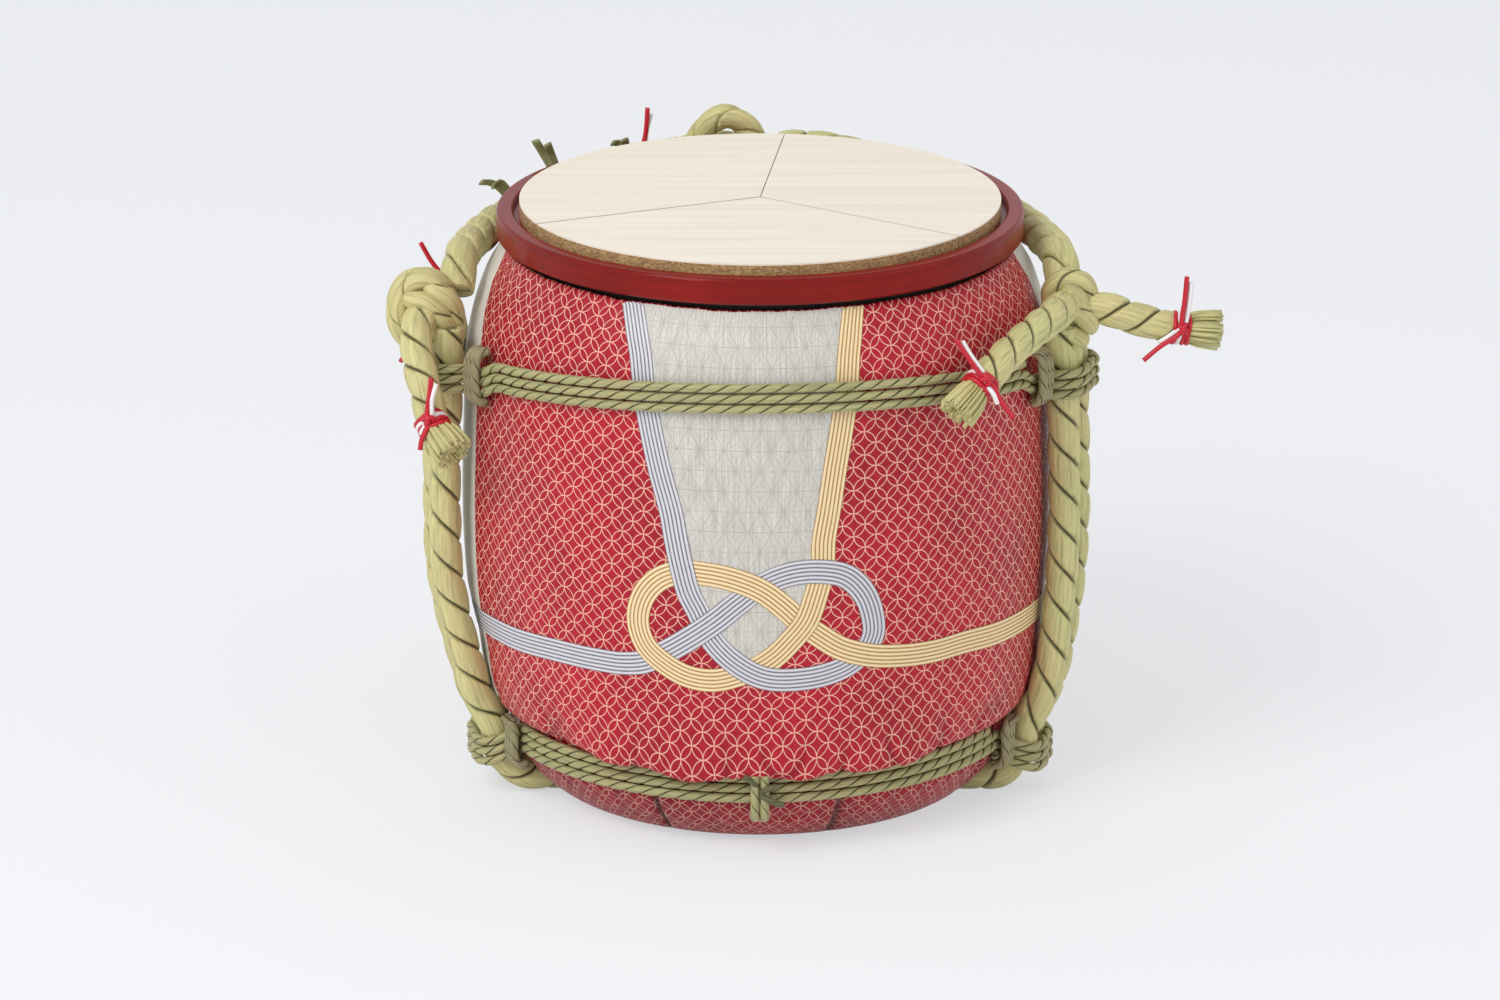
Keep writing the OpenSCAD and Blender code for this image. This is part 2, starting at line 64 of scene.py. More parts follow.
# Radius of the thick rope, its cut tails, the rope round the shoulder, the thin cord and the
# paper cord
ROPE_R, TAIL_R, SHOULDER_R, CORD_R, PAPER_R = 6.3, 6.2, 7.0, 1.8, 0.95
# The two ropes of a pair, from middle to middle: under the base, and closer on the mat's wall
PAIR_W, WALL_W = 15.1, 13.0
# Height and radius of the channels that take the ropes under the base, and the ropes' height
CHANNEL_Z, CHANNEL_R, LOW_Z = 7.7, 7.7, 6.6
# The channels end so far from the base's middle
HUB_R = 38.0
# The bend by which a rope turns in under the base, and how far out its middle is
TURN_IN_R, TURN_IN_AT = 15.6, 89.0
# Direction of each pair of ropes from the barrel's middle, and the height that it reaches
LEGS = {"right": -12.0, "back": 90.0, "left": 192.0}
PAIR_TOPS = {"right": 185.2, "back": 203.2, "left": 185.2}
# Height of the two windings, how much the upper one rises to the front, and the rise of each
# of their turns over the one below
WAIST_Z, SASH_Z, SASH_RISE, TURN_RISE = 26.0, 166.0, 17.0, 4.05
# How many turns each winding takes, and how many degrees from a pair's middle it needs to cross
# it. Where the lower one crosses a pair, the pair's middle is so far out, and it dips so deep
TURNS, CROSSING, WAIST_R, WAIST_DIP = 3, 17, 103.7, 8
# How many degrees beside a pair its lashing starts, and how far on each of its turns lies
LASHED_AT, LASHED_STEP = 10, 1.55
# The print's scale is true where the mat's radius is this
PRINT_R = 112.0
# The mat's bulge at the left: its direction, how far it spreads to each side, and how far out
# it goes
BULGE_AT, BULGE_SIDE, BULGE_OUT = 188, 15, 3
# The mat's thickness, its base's flat middle, the top of its folded foot, and where its inner
# side ends and how far in it is there
MAT_THICK, BASE_R, FOOT_TOP, INNER_LOW, INSIDE_R = 2.9, 70.0, 62.0, 30.0, 91.0
# The mat's grid: its columns, and its rows under the base, up the foot, up the wall and down
# the inner side. It closes over a hole at the middle
COLUMNS, BASE_ROWS, FOOT_ROWS, WALL_ROWS, INNER_ROWS, HOLE_R = 440, 16, 76, 72, 26, 0.02
# How far the straw packing reaches up
PACKED_TO = 205.0
# The print's parts over the mat: the panel, a band, and one band over another
PANEL_LIFT, BAND_LIFT, LAYER = 0.1, 0.16, 0.14
# The edges of the print on red, as lengths round the mat from the front: at the right, at the
# left, which leans outwards between two heights, and at the back
EDGE_RIGHT, EDGE_LEFT, LEAN_Z, EDGE_BACK = 155.4, (141.5, 158.0), (185.0, 216.0), 190.0
# Stripes of a band, the panel's foot, and how many points of the bands bound it
STRIPES, PANEL_FOOT, PANEL_POINTS = 6, 77.6, 210
# A tail's brush: how many straws, the radius of its solid heart, and how far out its straws
# start and end
STRAWS, HEART_R, BRUSH_FOOT, BRUSH_TIP = 130, 4.4, 4.3, 7.4
# Smooth ways are cut so fine between two points before they are cut in equal steps
FINE = 12

# The stage, in metres: half of the floor's side, the point that the lamps face, and for each
# lamp its place, its side and its share of the power. The floor's plain colour has this share
FLOOR_HALF, LIT_POINT, PLAIN_SHARE = 8.0, (0, 0, 0.11), 0.62
LAMPS = [("Key", (-1.1, -1.35, 1.75), 1.1, 1.0), ("Fill", (1.8, -0.9, 0.9), 1.4, 0.18)]
# The camera's place, its turns in degrees, and its lens in millimetres
CAMERA_AT, CAMERA_TURN, CAMERA_LENS = (0, -2.7344, 1.0), (71.95, 0, 0.081), 179.4


def to_linear(code):
    """The linear colour of an sRGB hex code"""
    parts = [int(code[i:i + 2], 16) / 255 for i in (1, 3, 5)]
    return [c / 12.92 if c <= 0.04045 else ((c + 0.055) / 1.055) ** 2.4 for c in parts]


def colour(name, code, description):
    return bpy.props.FloatVectorProperty(
        name=name, subtype="COLOR", size=3, min=0, max=1, default=to_linear(code),
        description=description)


def length(name, value, description):
    return bpy.props.FloatProperty(
        name=name, subtype="DISTANCE", unit="LENGTH", min=0, default=value / 1000,
        description=description)


class StrawSizes(bpy.types.PropertyGroup):
    """Sizes of the laid ropes and cords"""
    rope_pitch: length("Rope pitch", 31, "Length of one turn of the thick rope's strands")
    tail_pitch: length("Tail pitch", 25, "Length of one turn of a tail's strands")
    cord_pitch: length("Cord pitch", 14.3, "Length of one turn of the thin cord's strands")
    brush: length("Brush end", 16, "Length of the loose straw beyond a tie")


class PrintSizes(bpy.types.PropertyGroup):
    """Sizes of the pattern printed on the mat"""
    circle: length("Circle radius", 4.45, "Radius of the interlaced circles")
    line: length("Line", 0.31, "Width of the circles' lines")
    band: length("Band", 9.3, "Width of a printed cord band")
    leaf: length("Leaf", 9.0, "Side of the hemp leaf triangles on the white panel")


class BarrelColours(bpy.types.PropertyGroup):
    """Colours of the mat, the straw and the wood"""
    red: colour("Print red", "#AA0F29", "Ground of the printed mat")
    circle: colour("Circle line", "#F0B8A2", "Lines of the interlaced circles")
    panel: colour("Panel", "#CAC7C0", "White panel between the printed cords")
    silver: colour("Silver", "#D2CFD4", "Pale stripes of the silver cord band")
    gold: colour("Gold", "#EED7AA", "Pale stripes of the gold cord band")
    straw: colour("Straw", "#CBC38D", "Thick rope")
    cord: colour("Thin cord", "#A9A377", "Thin cord of the windings")
    lashing: colour("Lashing", "#978D6E", "Turns that hold the windings")
    lacquer: colour("Lacquer", "#801008", "Rim")


class StageSettings(bpy.types.PropertyGroup):
    """Light and floor"""
    sky: bpy.props.FloatProperty(
        name="Sky", default=0.64, min=0, max=2, description="Strength of the even light")
    key: bpy.props.FloatProperty(
        name="Key", default=4.7, min=0, max=50, unit="POWER",
        description="Power of the key lamp for each square metre of its distance")
    floor: colour("Floor", "#ECEEF1", "Floor and background")


# Ways and surfaces, in millimetres


def tub_r(z):
    """Outside radius of the tub at a height"""
    return TUB_FOOT + (TUB_TOP - TUB_FOOT) * min(1, max(0, (z - FLOOR_Z) / (STAVE_TOP - FLOOR_Z)))


def through(points, steps):
    """Points of a smooth curve through the given ones, with so many steps between two"""
    out = []
    for i in range(len(points) - 1):
        a, b = points[max(i - 1, 0)], points[i]
        c, d = points[i + 1], points[min(i + 2, len(points) - 1)]
        for j in range(steps):
            t = j / steps
            out.append(b + t * ((c - a) / 2 + t * ((2 * a - 5 * b + 4 * c - d) / 2
                                                   + t * (3 * (b - c) + d - a) / 2)))
    return out + [points[-1]]


# The mat's outer face, as height and distance beyond the tub
MAT_PADS = [
    (0, -12), (1.6, -4), (4, 0.5), (10, 7), (15, 10.5), (20, 12.9), (33, 12.3), (34.8, 16),
    (37.6, 19.6), (46, 21.8), (60, 23.2), (104.83, 23.7), (150.2, 20.8), (184.2, 17.3),
    (200.2, 12.5), (208.2, 7.6), (213.2, 4.2), (216.2, 3)]
MAT_OUT = through([Vector((tub_r(z) + pad, z)) for z, pad in MAT_PADS], 10)


def look_up(x, table):
    """The value at x in a rising table of (x, value)"""
    if x <= table[0][0]:
        return table[0][1]
    low, high = 0, len(table) - 1
    if x >= table[high][0]:
        return table[high][1]
    while high - low > 1:
        mid = (low + high) // 2
        if table[mid][0] <= x:
            low = mid
        else:
            high = mid
    (xa, a), (xb, b) = table[low], table[high]
    return a + (b - a) * (x - xa) / (xb - xa)


MAT_R_BY_Z = [(p.y, p.x) for p in MAT_OUT]
LENGTHS = [0.0]
for below, above in zip(MAT_OUT, MAT_OUT[1:]):
    LENGTHS.append(LENGTHS[-1] + (above - below).length)
# Lengths along the profile are counted so that at this height they are the height
EVEN_AT = 120
SHIFT = EVEN_AT - look_up(EVEN_AT, [(p.y, t) for p, t in zip(MAT_OUT, LENGTHS)])
MAT_R_BY_T = [(t + SHIFT, p.x) for t, p in zip(LENGTHS, MAT_OUT)]
MAT_Z_BY_T = [(t, p.y) for (t, _), p in zip(MAT_R_BY_T, MAT_OUT)]
MAT_T_BY_Z = [(z, t) for t, z in MAT_Z_BY_T]


def mat_r(z):
    """The mat's outer radius at a height"""
    return look_up(z, MAT_R_BY_Z)


def profile(t):
    """Radius and height of the mat's face at a length along it, and which way is outwards"""
    r, z = look_up(t, MAT_R_BY_T), look_up(t, MAT_Z_BY_T)
    dr = look_up(t + 1, MAT_R_BY_T) - look_up(t - 1, MAT_R_BY_T)
    dz = look_up(t + 1, MAT_Z_BY_T) - look_up(t - 1, MAT_Z_BY_T)
    size = math.hypot(dr, dz)
    return r, z, dz / size, -dr / size


def step01(low, high, x):
    """Rises smoothly from 0 at low to 1 at high"""
    t = min(1, max(0, (x - low) / (high - low)))
    return t * t * (3 - 2 * t)


# Directions from the front, in degrees, of the pleats sewn in below the lower cord
PLEATS = [-24.3, 18.3, -69, 61, 104, 148, -112, -155]
# The hem over the lower cord: by height, how far it can hang down
HEM = [(33, 0), (34.8, 1.6), (36, 3.8), (37.6, 6.6), (40, 6.6), (46, 3.6), (53, 1.3), (62, 0)]
TOP_T = look_up(213.6, MAT_T_BY_Z)


def swell(az, z):
    """How much further out the mat bulges at the left, in millimetres"""
    off = (az - BULGE_AT + 180) % 360 - 180
    level = step01(55, 85, z) * (1 - step01(170, 200, z))
    return BULGE_OUT * math.exp(-(off / BULGE_SIDE) ** 2) * level


def hem(turn):
    """How far the mat hangs over the lower cord in a direction, as a share"""
    off = (math.degrees(turn) + 270) % 360 - 180
    wave = 0.72 + 0.55 * noise.noise(Vector((off / 10, 3.3, 0)))
    return wave * (1 - step01(26, 46, abs(off)))


def top_t(turn):
    """The mat's top edge, as a length along its profile: uneven, just under the rim"""
    x, y = math.cos(turn), math.sin(turn)
    return TOP_T + 0.7 * noise.noise(Vector((x * 5, y * 5, 0))) \
        + 0.35 * noise.noise(Vector((x * 21, y * 21, 5)))


def folds(turn, z, r):
    """How far the mat's folds sink in, and how much painted shade a point gets, from 0 to 1"""
    x, y = r * math.cos(turn), r * math.sin(turn)
    soft = noise.noise(Vector((x / 26, y / 26, z / 60)))
    sunk = 0.45 * (soft + 1) * step01(20, 60, z) * (1 - step01(195, 214, z))
    sunk -= swell(math.degrees(turn), z)
    # The ring below the lower cord is painted darker, as the bulge's shade
    deep = 0.3 * (1 - step01(20, 36, z))
    if z < 60:
        # Gathers where the cord draws the mat in, fading upwards, with painted shade in them
        near = 1 - step01(38, 58, z)
        line = abs(noise.noise(Vector((x / 19, y / 19, z / 70 + 7))))
        crease = max(0, 1 - line / 0.13) ** 1.5
        low = step01(30, 35, z)
        sunk += crease * near * (1.7 * low + 0.5 * (1 - low) * step01(2, 9, z))
        # Painted shade in the creases, deeper above the cord
        deep += crease * near * (0.3 if z > 30 else 0.1)
        if z < 30:
            for at in PLEATS:
                off = (math.degrees(turn) + 90 - at + 180) % 360 - 180
                off = abs(math.radians(off) * r)
                if off < 6:
                    pleat = math.exp(-(off / 1.35) ** 2)
                    sunk += 2.3 * pleat * step01(1, 6, z)
                    # Painted shade along the pleat
                    deep = max(deep, pleat)
    if z > 186:
        # Small gathers where the mat is drawn in under the rim
        pull = noise.noise(Vector((x / 8, y / 8, z / 60 + 3)))
        sunk += 0.45 * (pull + 0.8) * step01(186, 208, z)
    return sunk, deep


def on_mat(turn, t, lift=0.0):
    """The point of the mat's outer face at a direction and a length along its profile"""
    r, z, out, up = profile(t)
    sunk, deep = folds(turn, z, r)
    hang = hem(turn) * look_up(z, HEM)
    move = lift - sunk
    r, z = r + move * out + 0.3 * hang, z + move * up - hang
    return Vector((r * math.cos(turn), r * math.sin(turn), z)), deep


def ceiling(x, y):
    """How high the ropes' channels reach above a point under the mat"""
    best = 0.0
    for az in LEGS.values():
        a = math.radians(az)
        along = x * math.cos(a) + y * math.sin(a)
        side = abs(-x * math.sin(a) + y * math.cos(a))
        if along > HUB_R:
            out = abs(side - PAIR_W / 2)
            if side < PAIR_W / 2:
                out = min(out, CHANNEL_R * 0.72)
            top = CHANNEL_Z + math.sqrt(max(0, CHANNEL_R ** 2 - out ** 2))
            wall = step01(PAIR_W / 2 + CHANNEL_R + 0.9, PAIR_W / 2 + CHANNEL_R - 0.6, side)
            best = max(best, top * wall)
    return best


class Way:
    """A smooth way through points, cut in equal steps, with a frame carried along it"""

    def __init__(self, points, step, closed=False):
        points = [Vector(p) for p in points]
        count = len(points)
        fine = []
        for i in range(count if closed else count - 1):
            b, c = points[i], points[(i + 1) % count]
            a = points[i - 1] if closed or i else b + (b - c)
            d = points[(i + 2) % count] if closed or i + 2 < count else c + (c - b)
            gaps = [max((q - p).length, 1e-6) for p, q in ((a, b), (b, c), (c, d))]
            tb = ((b - a) / gaps[0] * gaps[1] + (c - b) / gaps[1] * gaps[0]) / (gaps[0] + gaps[1])
            tc = ((c - b) / gaps[1] * gaps[2] + (d - c) / gaps[2] * gaps[1]) / (gaps[1] + gaps[2])
            h = gaps[1]
            for j in range(FINE):
                t = j / FINE
                fine.append((2 * t ** 3 - 3 * t * t + 1) * b + (t ** 3 - 2 * t * t + t) * h * tb
                            + (3 * t * t - 2 * t ** 3) * c + (t ** 3 - t * t) * h * tc)
        fine.append(points[0] if closed else points[-1])
        run = [0.0]
        for a, b in zip(fine, fine[1:]):
            run.append(run[-1] + (b - a).length)
        self.length, self.closed = run[-1], closed
        self.rows = max(2, round(self.length / step))
        self.at, self.points, k = [], [], 0
        for i in range(self.rows + 1):
            want = self.length * i / self.rows
            while k < len(run) - 2 and run[k + 1] < want:
                k += 1
            share = (want - run[k]) / max(run[k + 1] - run[k], 1e-9)
            self.points.append(fine[k].lerp(fine[k + 1], share))
            self.at.append(want)
        self.normal, self.side, self.tangent = [], [], []
        last = None
        for i, p in enumerate(self.points):
            if closed:
                t = self.points[(i + 1) % self.rows] - self.points[(i - 1) % self.rows]
            else:
                t = self.points[min(i + 1, self.rows)] - self.points[max(i - 1, 0)]
            t.normalize()
            if last is None:
                last = Vector((0, 0, 1)) if abs(t.z) < 0.8 else Vector((1, 0, 0))
            last = (last - last.dot(t) * t).normalized()
            self.tangent.append(t)
            self.normal.append(last)
            self.side.append(t.cross(last))
        if closed:
            # A closed way's frame is turned bit by bit so that its end meets its start
            end = self.normal[-1]
            off = math.atan2(end.dot(self.side[0]), end.dot(self.normal[0]))
            for i in range(self.rows + 1):
                turn = Matrix.Rotation(-off * i / self.rows, 3, self.tangent[i])
                self.normal[i] = turn @ self.normal[i]
                self.side[i] = turn @ self.side[i]


# Bent sheets and swept strands


def bend_grid(bm, columns, rows, place, chart=None, round_it=False):
    """Adds a flat grid and bends it: place gives a point and what the surface knows there,
    chart gives the place in the pattern, and round_it closes the grid's first direction"""
    verts = bmesh.ops.create_grid(bm, x_segments=columns, y_segments=rows, size=0.5)["verts"]
    lay = bm.verts.layers.float_vector["lay"]
    proud = bm.verts.layers.float["proud"]
    if chart:
        uv = bm.loops.layers.uv["print"]
        for face in {f for v in verts for f in v.link_faces}:
            for loop in face.loops:
                co = loop.vert.co
                loop[uv].uv = chart(co.x + 0.5, co.y + 0.5)
    for v in verts:
        v.co, v[lay], v[proud] = place(v.co.x + 0.5, v.co.y + 0.5)
    if round_it:
        edge = [v for v in verts if v.is_boundary]
        bmesh.ops.remove_doubles(bm, verts=edge, dist=0.0004)
    return verts


def new_mesh():
    bm = bmesh.new()
    bm.verts.layers.float_vector.new("lay")
    bm.verts.layers.float.new("proud")
    bm.loops.layers.uv.new("print")
    return bm


def strand(bm, way, section, around, turn=None, size=None, start=0.0):
    """Sweeps a closed section along a way. section gives across and out for an angle, turn
    how far it has twisted at a length, and size how big it is there"""
    def place(u, v):
        i = round(v * way.rows)
        x, y = section(2 * math.pi * u)
        along = way.at[i]
        twist = turn(along) if turn else 0.0
        k = size(along) if size else 1.0
        c, s = math.cos(twist), math.sin(twist)
        a, b = (x * c - y * s) * k, (x * s + y * c) * k
        point = way.points[i] + a * way.normal[i] + b * way.side[i]
        return point, (a, b, along + start), math.hypot(x, y)

    made = bend_grid(bm, around, way.rows, place, round_it=True)
    if way.closed:
        bmesh.ops.remove_doubles(bm, verts=[v for v in made if v.is_valid and v.is_boundary],
                                 dist=0.002)
    else:
        edges = {e for v in made if v.is_valid for e in v.link_edges if e.is_boundary}
        bmesh.ops.holes_fill(bm, edges=list(edges), sides=0)


def plump(out, thick, wide, power):
    """The section of one strand of a rope: a flattened round, out from the rope's middle"""
    def section(angle):
        c, s = math.cos(angle), math.sin(angle)
        return (out + thick * math.copysign(abs(c) ** (2 / power), c),
                wide * math.copysign(abs(s) ** (2 / power), s))
    return section


def half_round(radius, crease):
    """The section of one of a laid rope's two strands: half a round, flat where it meets the
    other, with a narrow crease between them"""
    def section(angle):
        share = angle / (2 * math.pi) % 1
        if share >= 0.75:
            return 0.0, radius * (0.93 - crease) * (7 - 8 * share)
        s = share / 0.375 - 1
        turned = math.radians(89) * (1.35 * s - 0.35 * s ** 3)
        near = math.exp(-((math.pi / 2 - abs(turned)) / 0.2) ** 2)
        r = radius * (0.965 + 0.035 * math.cos(2 * turned) - crease * near)
        return r * math.cos(turned), r * math.sin(turned)
    return section


def laid_rope(bm, way, radius, pitch, around=24, size=None, seed=0, crease=0.23):
    """A left-handed rope: two strands laid round each other, each a little uneven"""
    rough = random.Random(seed)
    for k in (0, 1):
        shift = rough.uniform(0, 50)

        def turn(along, k=k):
            return -2 * math.pi * along / pitch + math.pi * k

        def uneven(along, shift=shift):
            swell = 1 + 0.045 * noise.noise(Vector((along / 11 + shift, shift, 0)))
            return swell * (size(along) if size else 1)

        strand(bm, way, half_round(radius, crease), around, turn, uneven, shift)


def finish_piece(name, bm, materials, nodes, body="barrel"):
    """Turns a bmesh in millimetres into a finished piece in metres"""
    bmesh.ops.scale(bm, vec=(0.001, 0.001, 0.001), verts=bm.verts)
    bmesh.ops.recalc_face_normals(bm, faces=bm.faces)
    for face in bm.faces:
        face.smooth = True
    mesh = bpy.data.meshes.new(name)
    bm.to_mesh(mesh)
    bm.free()
    for material in materials:
        mesh.materials.append(material)
    piece = bpy.data.objects.new(name, mesh)
    bpy.context.scene.collection.objects.link(piece)
    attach(piece, body)
    if nodes:
        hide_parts(*nodes)
    return piece


# Materials


def add(tree, kind, links=None, **settings):
    """Adds a node with its settings, and sets or links its inputs. Gives its outputs"""
    node = tree.nodes.new("ShaderNode" + kind)
    for name, value in settings.items():
        setattr(node, name, value)
    for key, value in (links or {}).items():
        if isinstance(value, bpy.types.NodeSocket):
            tree.links.new(value, node.inputs[key])
        else:
            node.inputs[key].default_value = value
    return node.outputs


def surface(name, **constants):
    """A new material with its shader's plain values. Gives it, its tree and its shader"""
    material = bpy.data.materials.new(name)
    material.use_nodes = True
    tree = material.node_tree
    shader = tree.nodes["Principled BSDF"]
    for key, value in constants.items():
        shader.inputs[key.replace("_", " ")].default_value = value
    return material, tree, shader


def shade(rgb, factor=1.0):
    """A colour made darker or lighter, with its opacity"""
    return [min(1, c * factor) for c in rgb] + [1]


def paint(code):
    """The linear colour of a hex code, with its opacity"""
    return shade(to_linear(code))


def fibres(tree, vector, counts, detail=2, **more):
    """Fibres that run along a surface, with so many to a unit of the vector in each direction"""
    drawn_out = add(tree, "Mapping", {"Vector": vector, "Scale": counts})[0]
    return add(tree, "TexNoise", {"Vector": drawn_out, "Scale": 1.0, "Detail": detail,
                                  **more})["Fac"]


def give_finish(tree, shader, tone, height, strength, depth, **settings):
    """Ends a material with its colour and its relief, as deep as so many metres"""
    tree.links.new(tone, shader.inputs["Base Color"])
    relief = add(tree, "Bump", {"Height": height, "Strength": strength, "Distance": depth},
                 **settings)[0]
    tree.links.new(relief, shader.inputs["Normal"])


def dried_straw(name, rgb, reach, across=1.0, depth=0.5, dull=1.0):
    """Dried rice straw, laid by hand: flat glossy stalks side by side, greener and yellower
    by patches, with painted shade in the creases where the strands press together. reach is
    a rope's radius in mm, and across how wide its stalks are beside those of the thick rope"""
    material, tree, shader = surface(name, Roughness=0.5, IOR=1.45)
    lay = add(tree, "Attribute", attribute_name="lay")["Vector"]
    # To a millimetre: a stalk is 1.2 mm across and runs on for 36 mm, its own fibres are a
    # third of a millimetre across and 11 mm long
    stalks = 0.85 / across
    grain = fibres(tree, lay, (stalks, stalks, 0.028), 3, Roughness=0.62)
    fine = fibres(tree, lay, (3.1, 3.1, 0.09))
    ramp = add(tree, "ValToRGB", {"Fac": grain})[0]
    stops = tree.nodes[-1].color_ramp.elements
    stops[0].position, stops[0].color = 0.3, shade(rgb, 0.66)
    stops[1].position, stops[1].color = 0.7, shade(rgb, 1.2)
    stops.new(0.45).color = shade(rgb, 0.97)
    # Patches of 26 mm lean to green and to hay yellow
    place = add(tree, "TexCoord")["Object"]
    patch = add(tree, "TexNoise", {"Vector": place, "Scale": 38.0, "Detail": 2})["Fac"]
    leaning = add(tree, "Mix", {0: patch, 6: (0.88, 0.99, 0.86, 1), 7: (1.09, 1.0, 0.98, 1)},
                  data_type="RGBA")[2]
    tinted = add(tree, "Mix", {0: 1.0, 6: ramp, 7: leaning}, data_type="RGBA",
                 blend_type="MULTIPLY")[2]
    # What lies deeper than a tenth of the radius, in the creases, is painted darker as shade
    proud = add(tree, "Attribute", attribute_name="proud")["Fac"]
    lit = add(tree, "MapRange", {"Value": proud, "From Min": reach * 0.74,
                                 "From Max": reach * 0.9, "To Min": 0.3, "To Max": 1.0})[0]
    shaded = add(tree, "Mix", {0: 1.0, 6: tinted, 7: lit}, data_type="RGBA",
                 blend_type="MULTIPLY")[2]
    high = add(tree, "Math", {0: grain, 1: fine}, operation="ADD")[0]
    give_finish(tree, shader, shaded, high, depth, 0.0006 * dull)
    return material


def printed_matting(colours, sizes):
    """Straw matting with a soft gloss of printing ink: fine ribs run up it, interlaced
    circles on red at the front and the back, and bare white between them"""
    material, tree, shader = surface("Printed straw matting", Roughness=0.5,
                                     Specular_IOR_Level=0.32)
    uv = add(tree, "UVMap", uv_map="print")[0]
    at = add(tree, "SeparateXYZ", {0: uv})
    circle = sizes.circle * 1000
    # Two lattices of circles, the second half a step on both ways
    even = []
    for run in at[:2]:
        run = add(tree, "Math", {0: run, 1: circle}, operation="DIVIDE")[0]
        even.append(add(tree, "Math", {0: run, 1: 1.0}, operation="PINGPONG")[0])
    odd = [add(tree, "Math", {0: 1.0, 1: run}, operation="SUBTRACT")[0] for run in even]
    lines = []
    for across, along in (even, odd):
        both = add(tree, "CombineXYZ", {0: across, 1: along})[0]
        far = add(tree, "VectorMath", {0: both}, operation="LENGTH")["Value"]
        off = add(tree, "Math", {0: far, 1: 1.0}, operation="SUBTRACT")[0]
        lines.append(add(tree, "Math", {0: off}, operation="ABSOLUTE")[0])
    near = add(tree, "Math", {0: lines[0], 1: lines[1]}, operation="MINIMUM")[0]
    half = sizes.line * 500 / circle
    ink = add(tree, "MapRange", {"Value": near, "From Min": half * 0.75, "From Max": half * 1.5,
                                 "To Min": 1.0, "To Max": 0.0})[0]
    # Ribs a millimetre apart, finer than the print, and specks of 0.6 mm where no ink took
    rib = fibres(tree, uv, (1.05, 0.05, 1))
    speck = fibres(tree, uv, (1.6, 1.6, 1), 1)
    worn = add(tree, "MapRange", {"Value": speck, "From Min": 0.3, "From Max": 0.42,
                                  "To Min": 0.6, "To Max": 0.94})[0]
    ink = add(tree, "Math", {0: ink, 1: worn}, operation="MULTIPLY")[0]
    place = add(tree, "TexCoord")["Object"]
    wash = add(tree, "TexNoise", {"Vector": place, "Scale": 22.0, "Detail": 3})["Fac"]
    tone = add(tree, "Math", {0: rib, 1: wash}, operation="ADD")[0]
    tone = add(tree, "MapRange", {"Value": tone, "From Min": 0.7, "From Max": 1.3,
                                  "To Min": 0.72, "To Max": 1.2})[0]
    ground = add(tree, "Mix", {0: 1.0, 6: shade(colours.red), 7: tone}, data_type="RGBA",
                 blend_type="MULTIPLY")[2]
    red = add(tree, "Mix", {0: ink, 6: ground, 7: shade(colours.circle)}, data_type="RGBA")[2]
    # Beyond the edges of the print the mat is bare
    side = add(tree, "Math", {0: at[0]}, operation="ABSOLUTE")[0]
    lean = add(tree, "MapRange", {"Value": at[1], "From Min": LEAN_Z[0], "From Max": LEAN_Z[1],
                                  "To Min": EDGE_LEFT[0], "To Max": EDGE_LEFT[1]})[0]
    left = add(tree, "Math", {0: at[0], 1: 0.0}, operation="LESS_THAN")[0]
    edge = add(tree, "Mix", {0: left, 2: EDGE_RIGHT, 3: lean})[0]
    out = add(tree, "Math", {0: side, 1: edge}, operation="GREATER_THAN")[0]
    back = add(tree, "Math", {0: side, 1: EDGE_BACK}, operation="LESS_THAN")[0]
    bare = add(tree, "Math", {0: out, 1: back}, operation="MULTIPLY")[0]
    white = add(tree, "Mix", {0: rib, 6: shade(colours.panel, 1.15),
                              7: shade(colours.panel, 1.45)}, data_type="RGBA")[2]
    printed = add(tree, "Mix", {0: bare, 6: red, 7: white}, data_type="RGBA")[2]
    # The mat carries the painted shade of its folds, its pleats and the ring below the bulge
    deep = add(tree, "Attribute", attribute_name="proud")["Fac"]
    shadow = add(tree, "MapRange", {"Value": deep, "From Min": 0.0, "From Max": 1.0,
                                    "To Min": 1.0, "To Max": 0.06})[0]
    shaded = add(tree, "Mix", {0: 1.0, 6: printed, 7: shadow}, data_type="RGBA",
                 blend_type="MULTIPLY")[2]
    give_finish(tree, shader, shaded, rib, 0.35, 0.0004)
    return material


def bare_matting():
    """The mat's unprinted side: woven straw, dull and hay-coloured"""
    material, tree, shader = surface("Bare straw matting", Roughness=0.75)
    uv = add(tree, "UVMap", uv_map="print")[0]
    # Stalks of 1.1 mm that run round the mat for 17 mm
    stalk = fibres(tree, uv, (0.06, 0.9, 1), 3)
    tone = add(tree, "Mix", {0: stalk, 6: paint("#A79A62"), 7: paint("#DACD96")},
               data_type="RGBA")[2]
    give_finish(tree, shader, tone, stalk, 0.6, 0.0008)
    return material


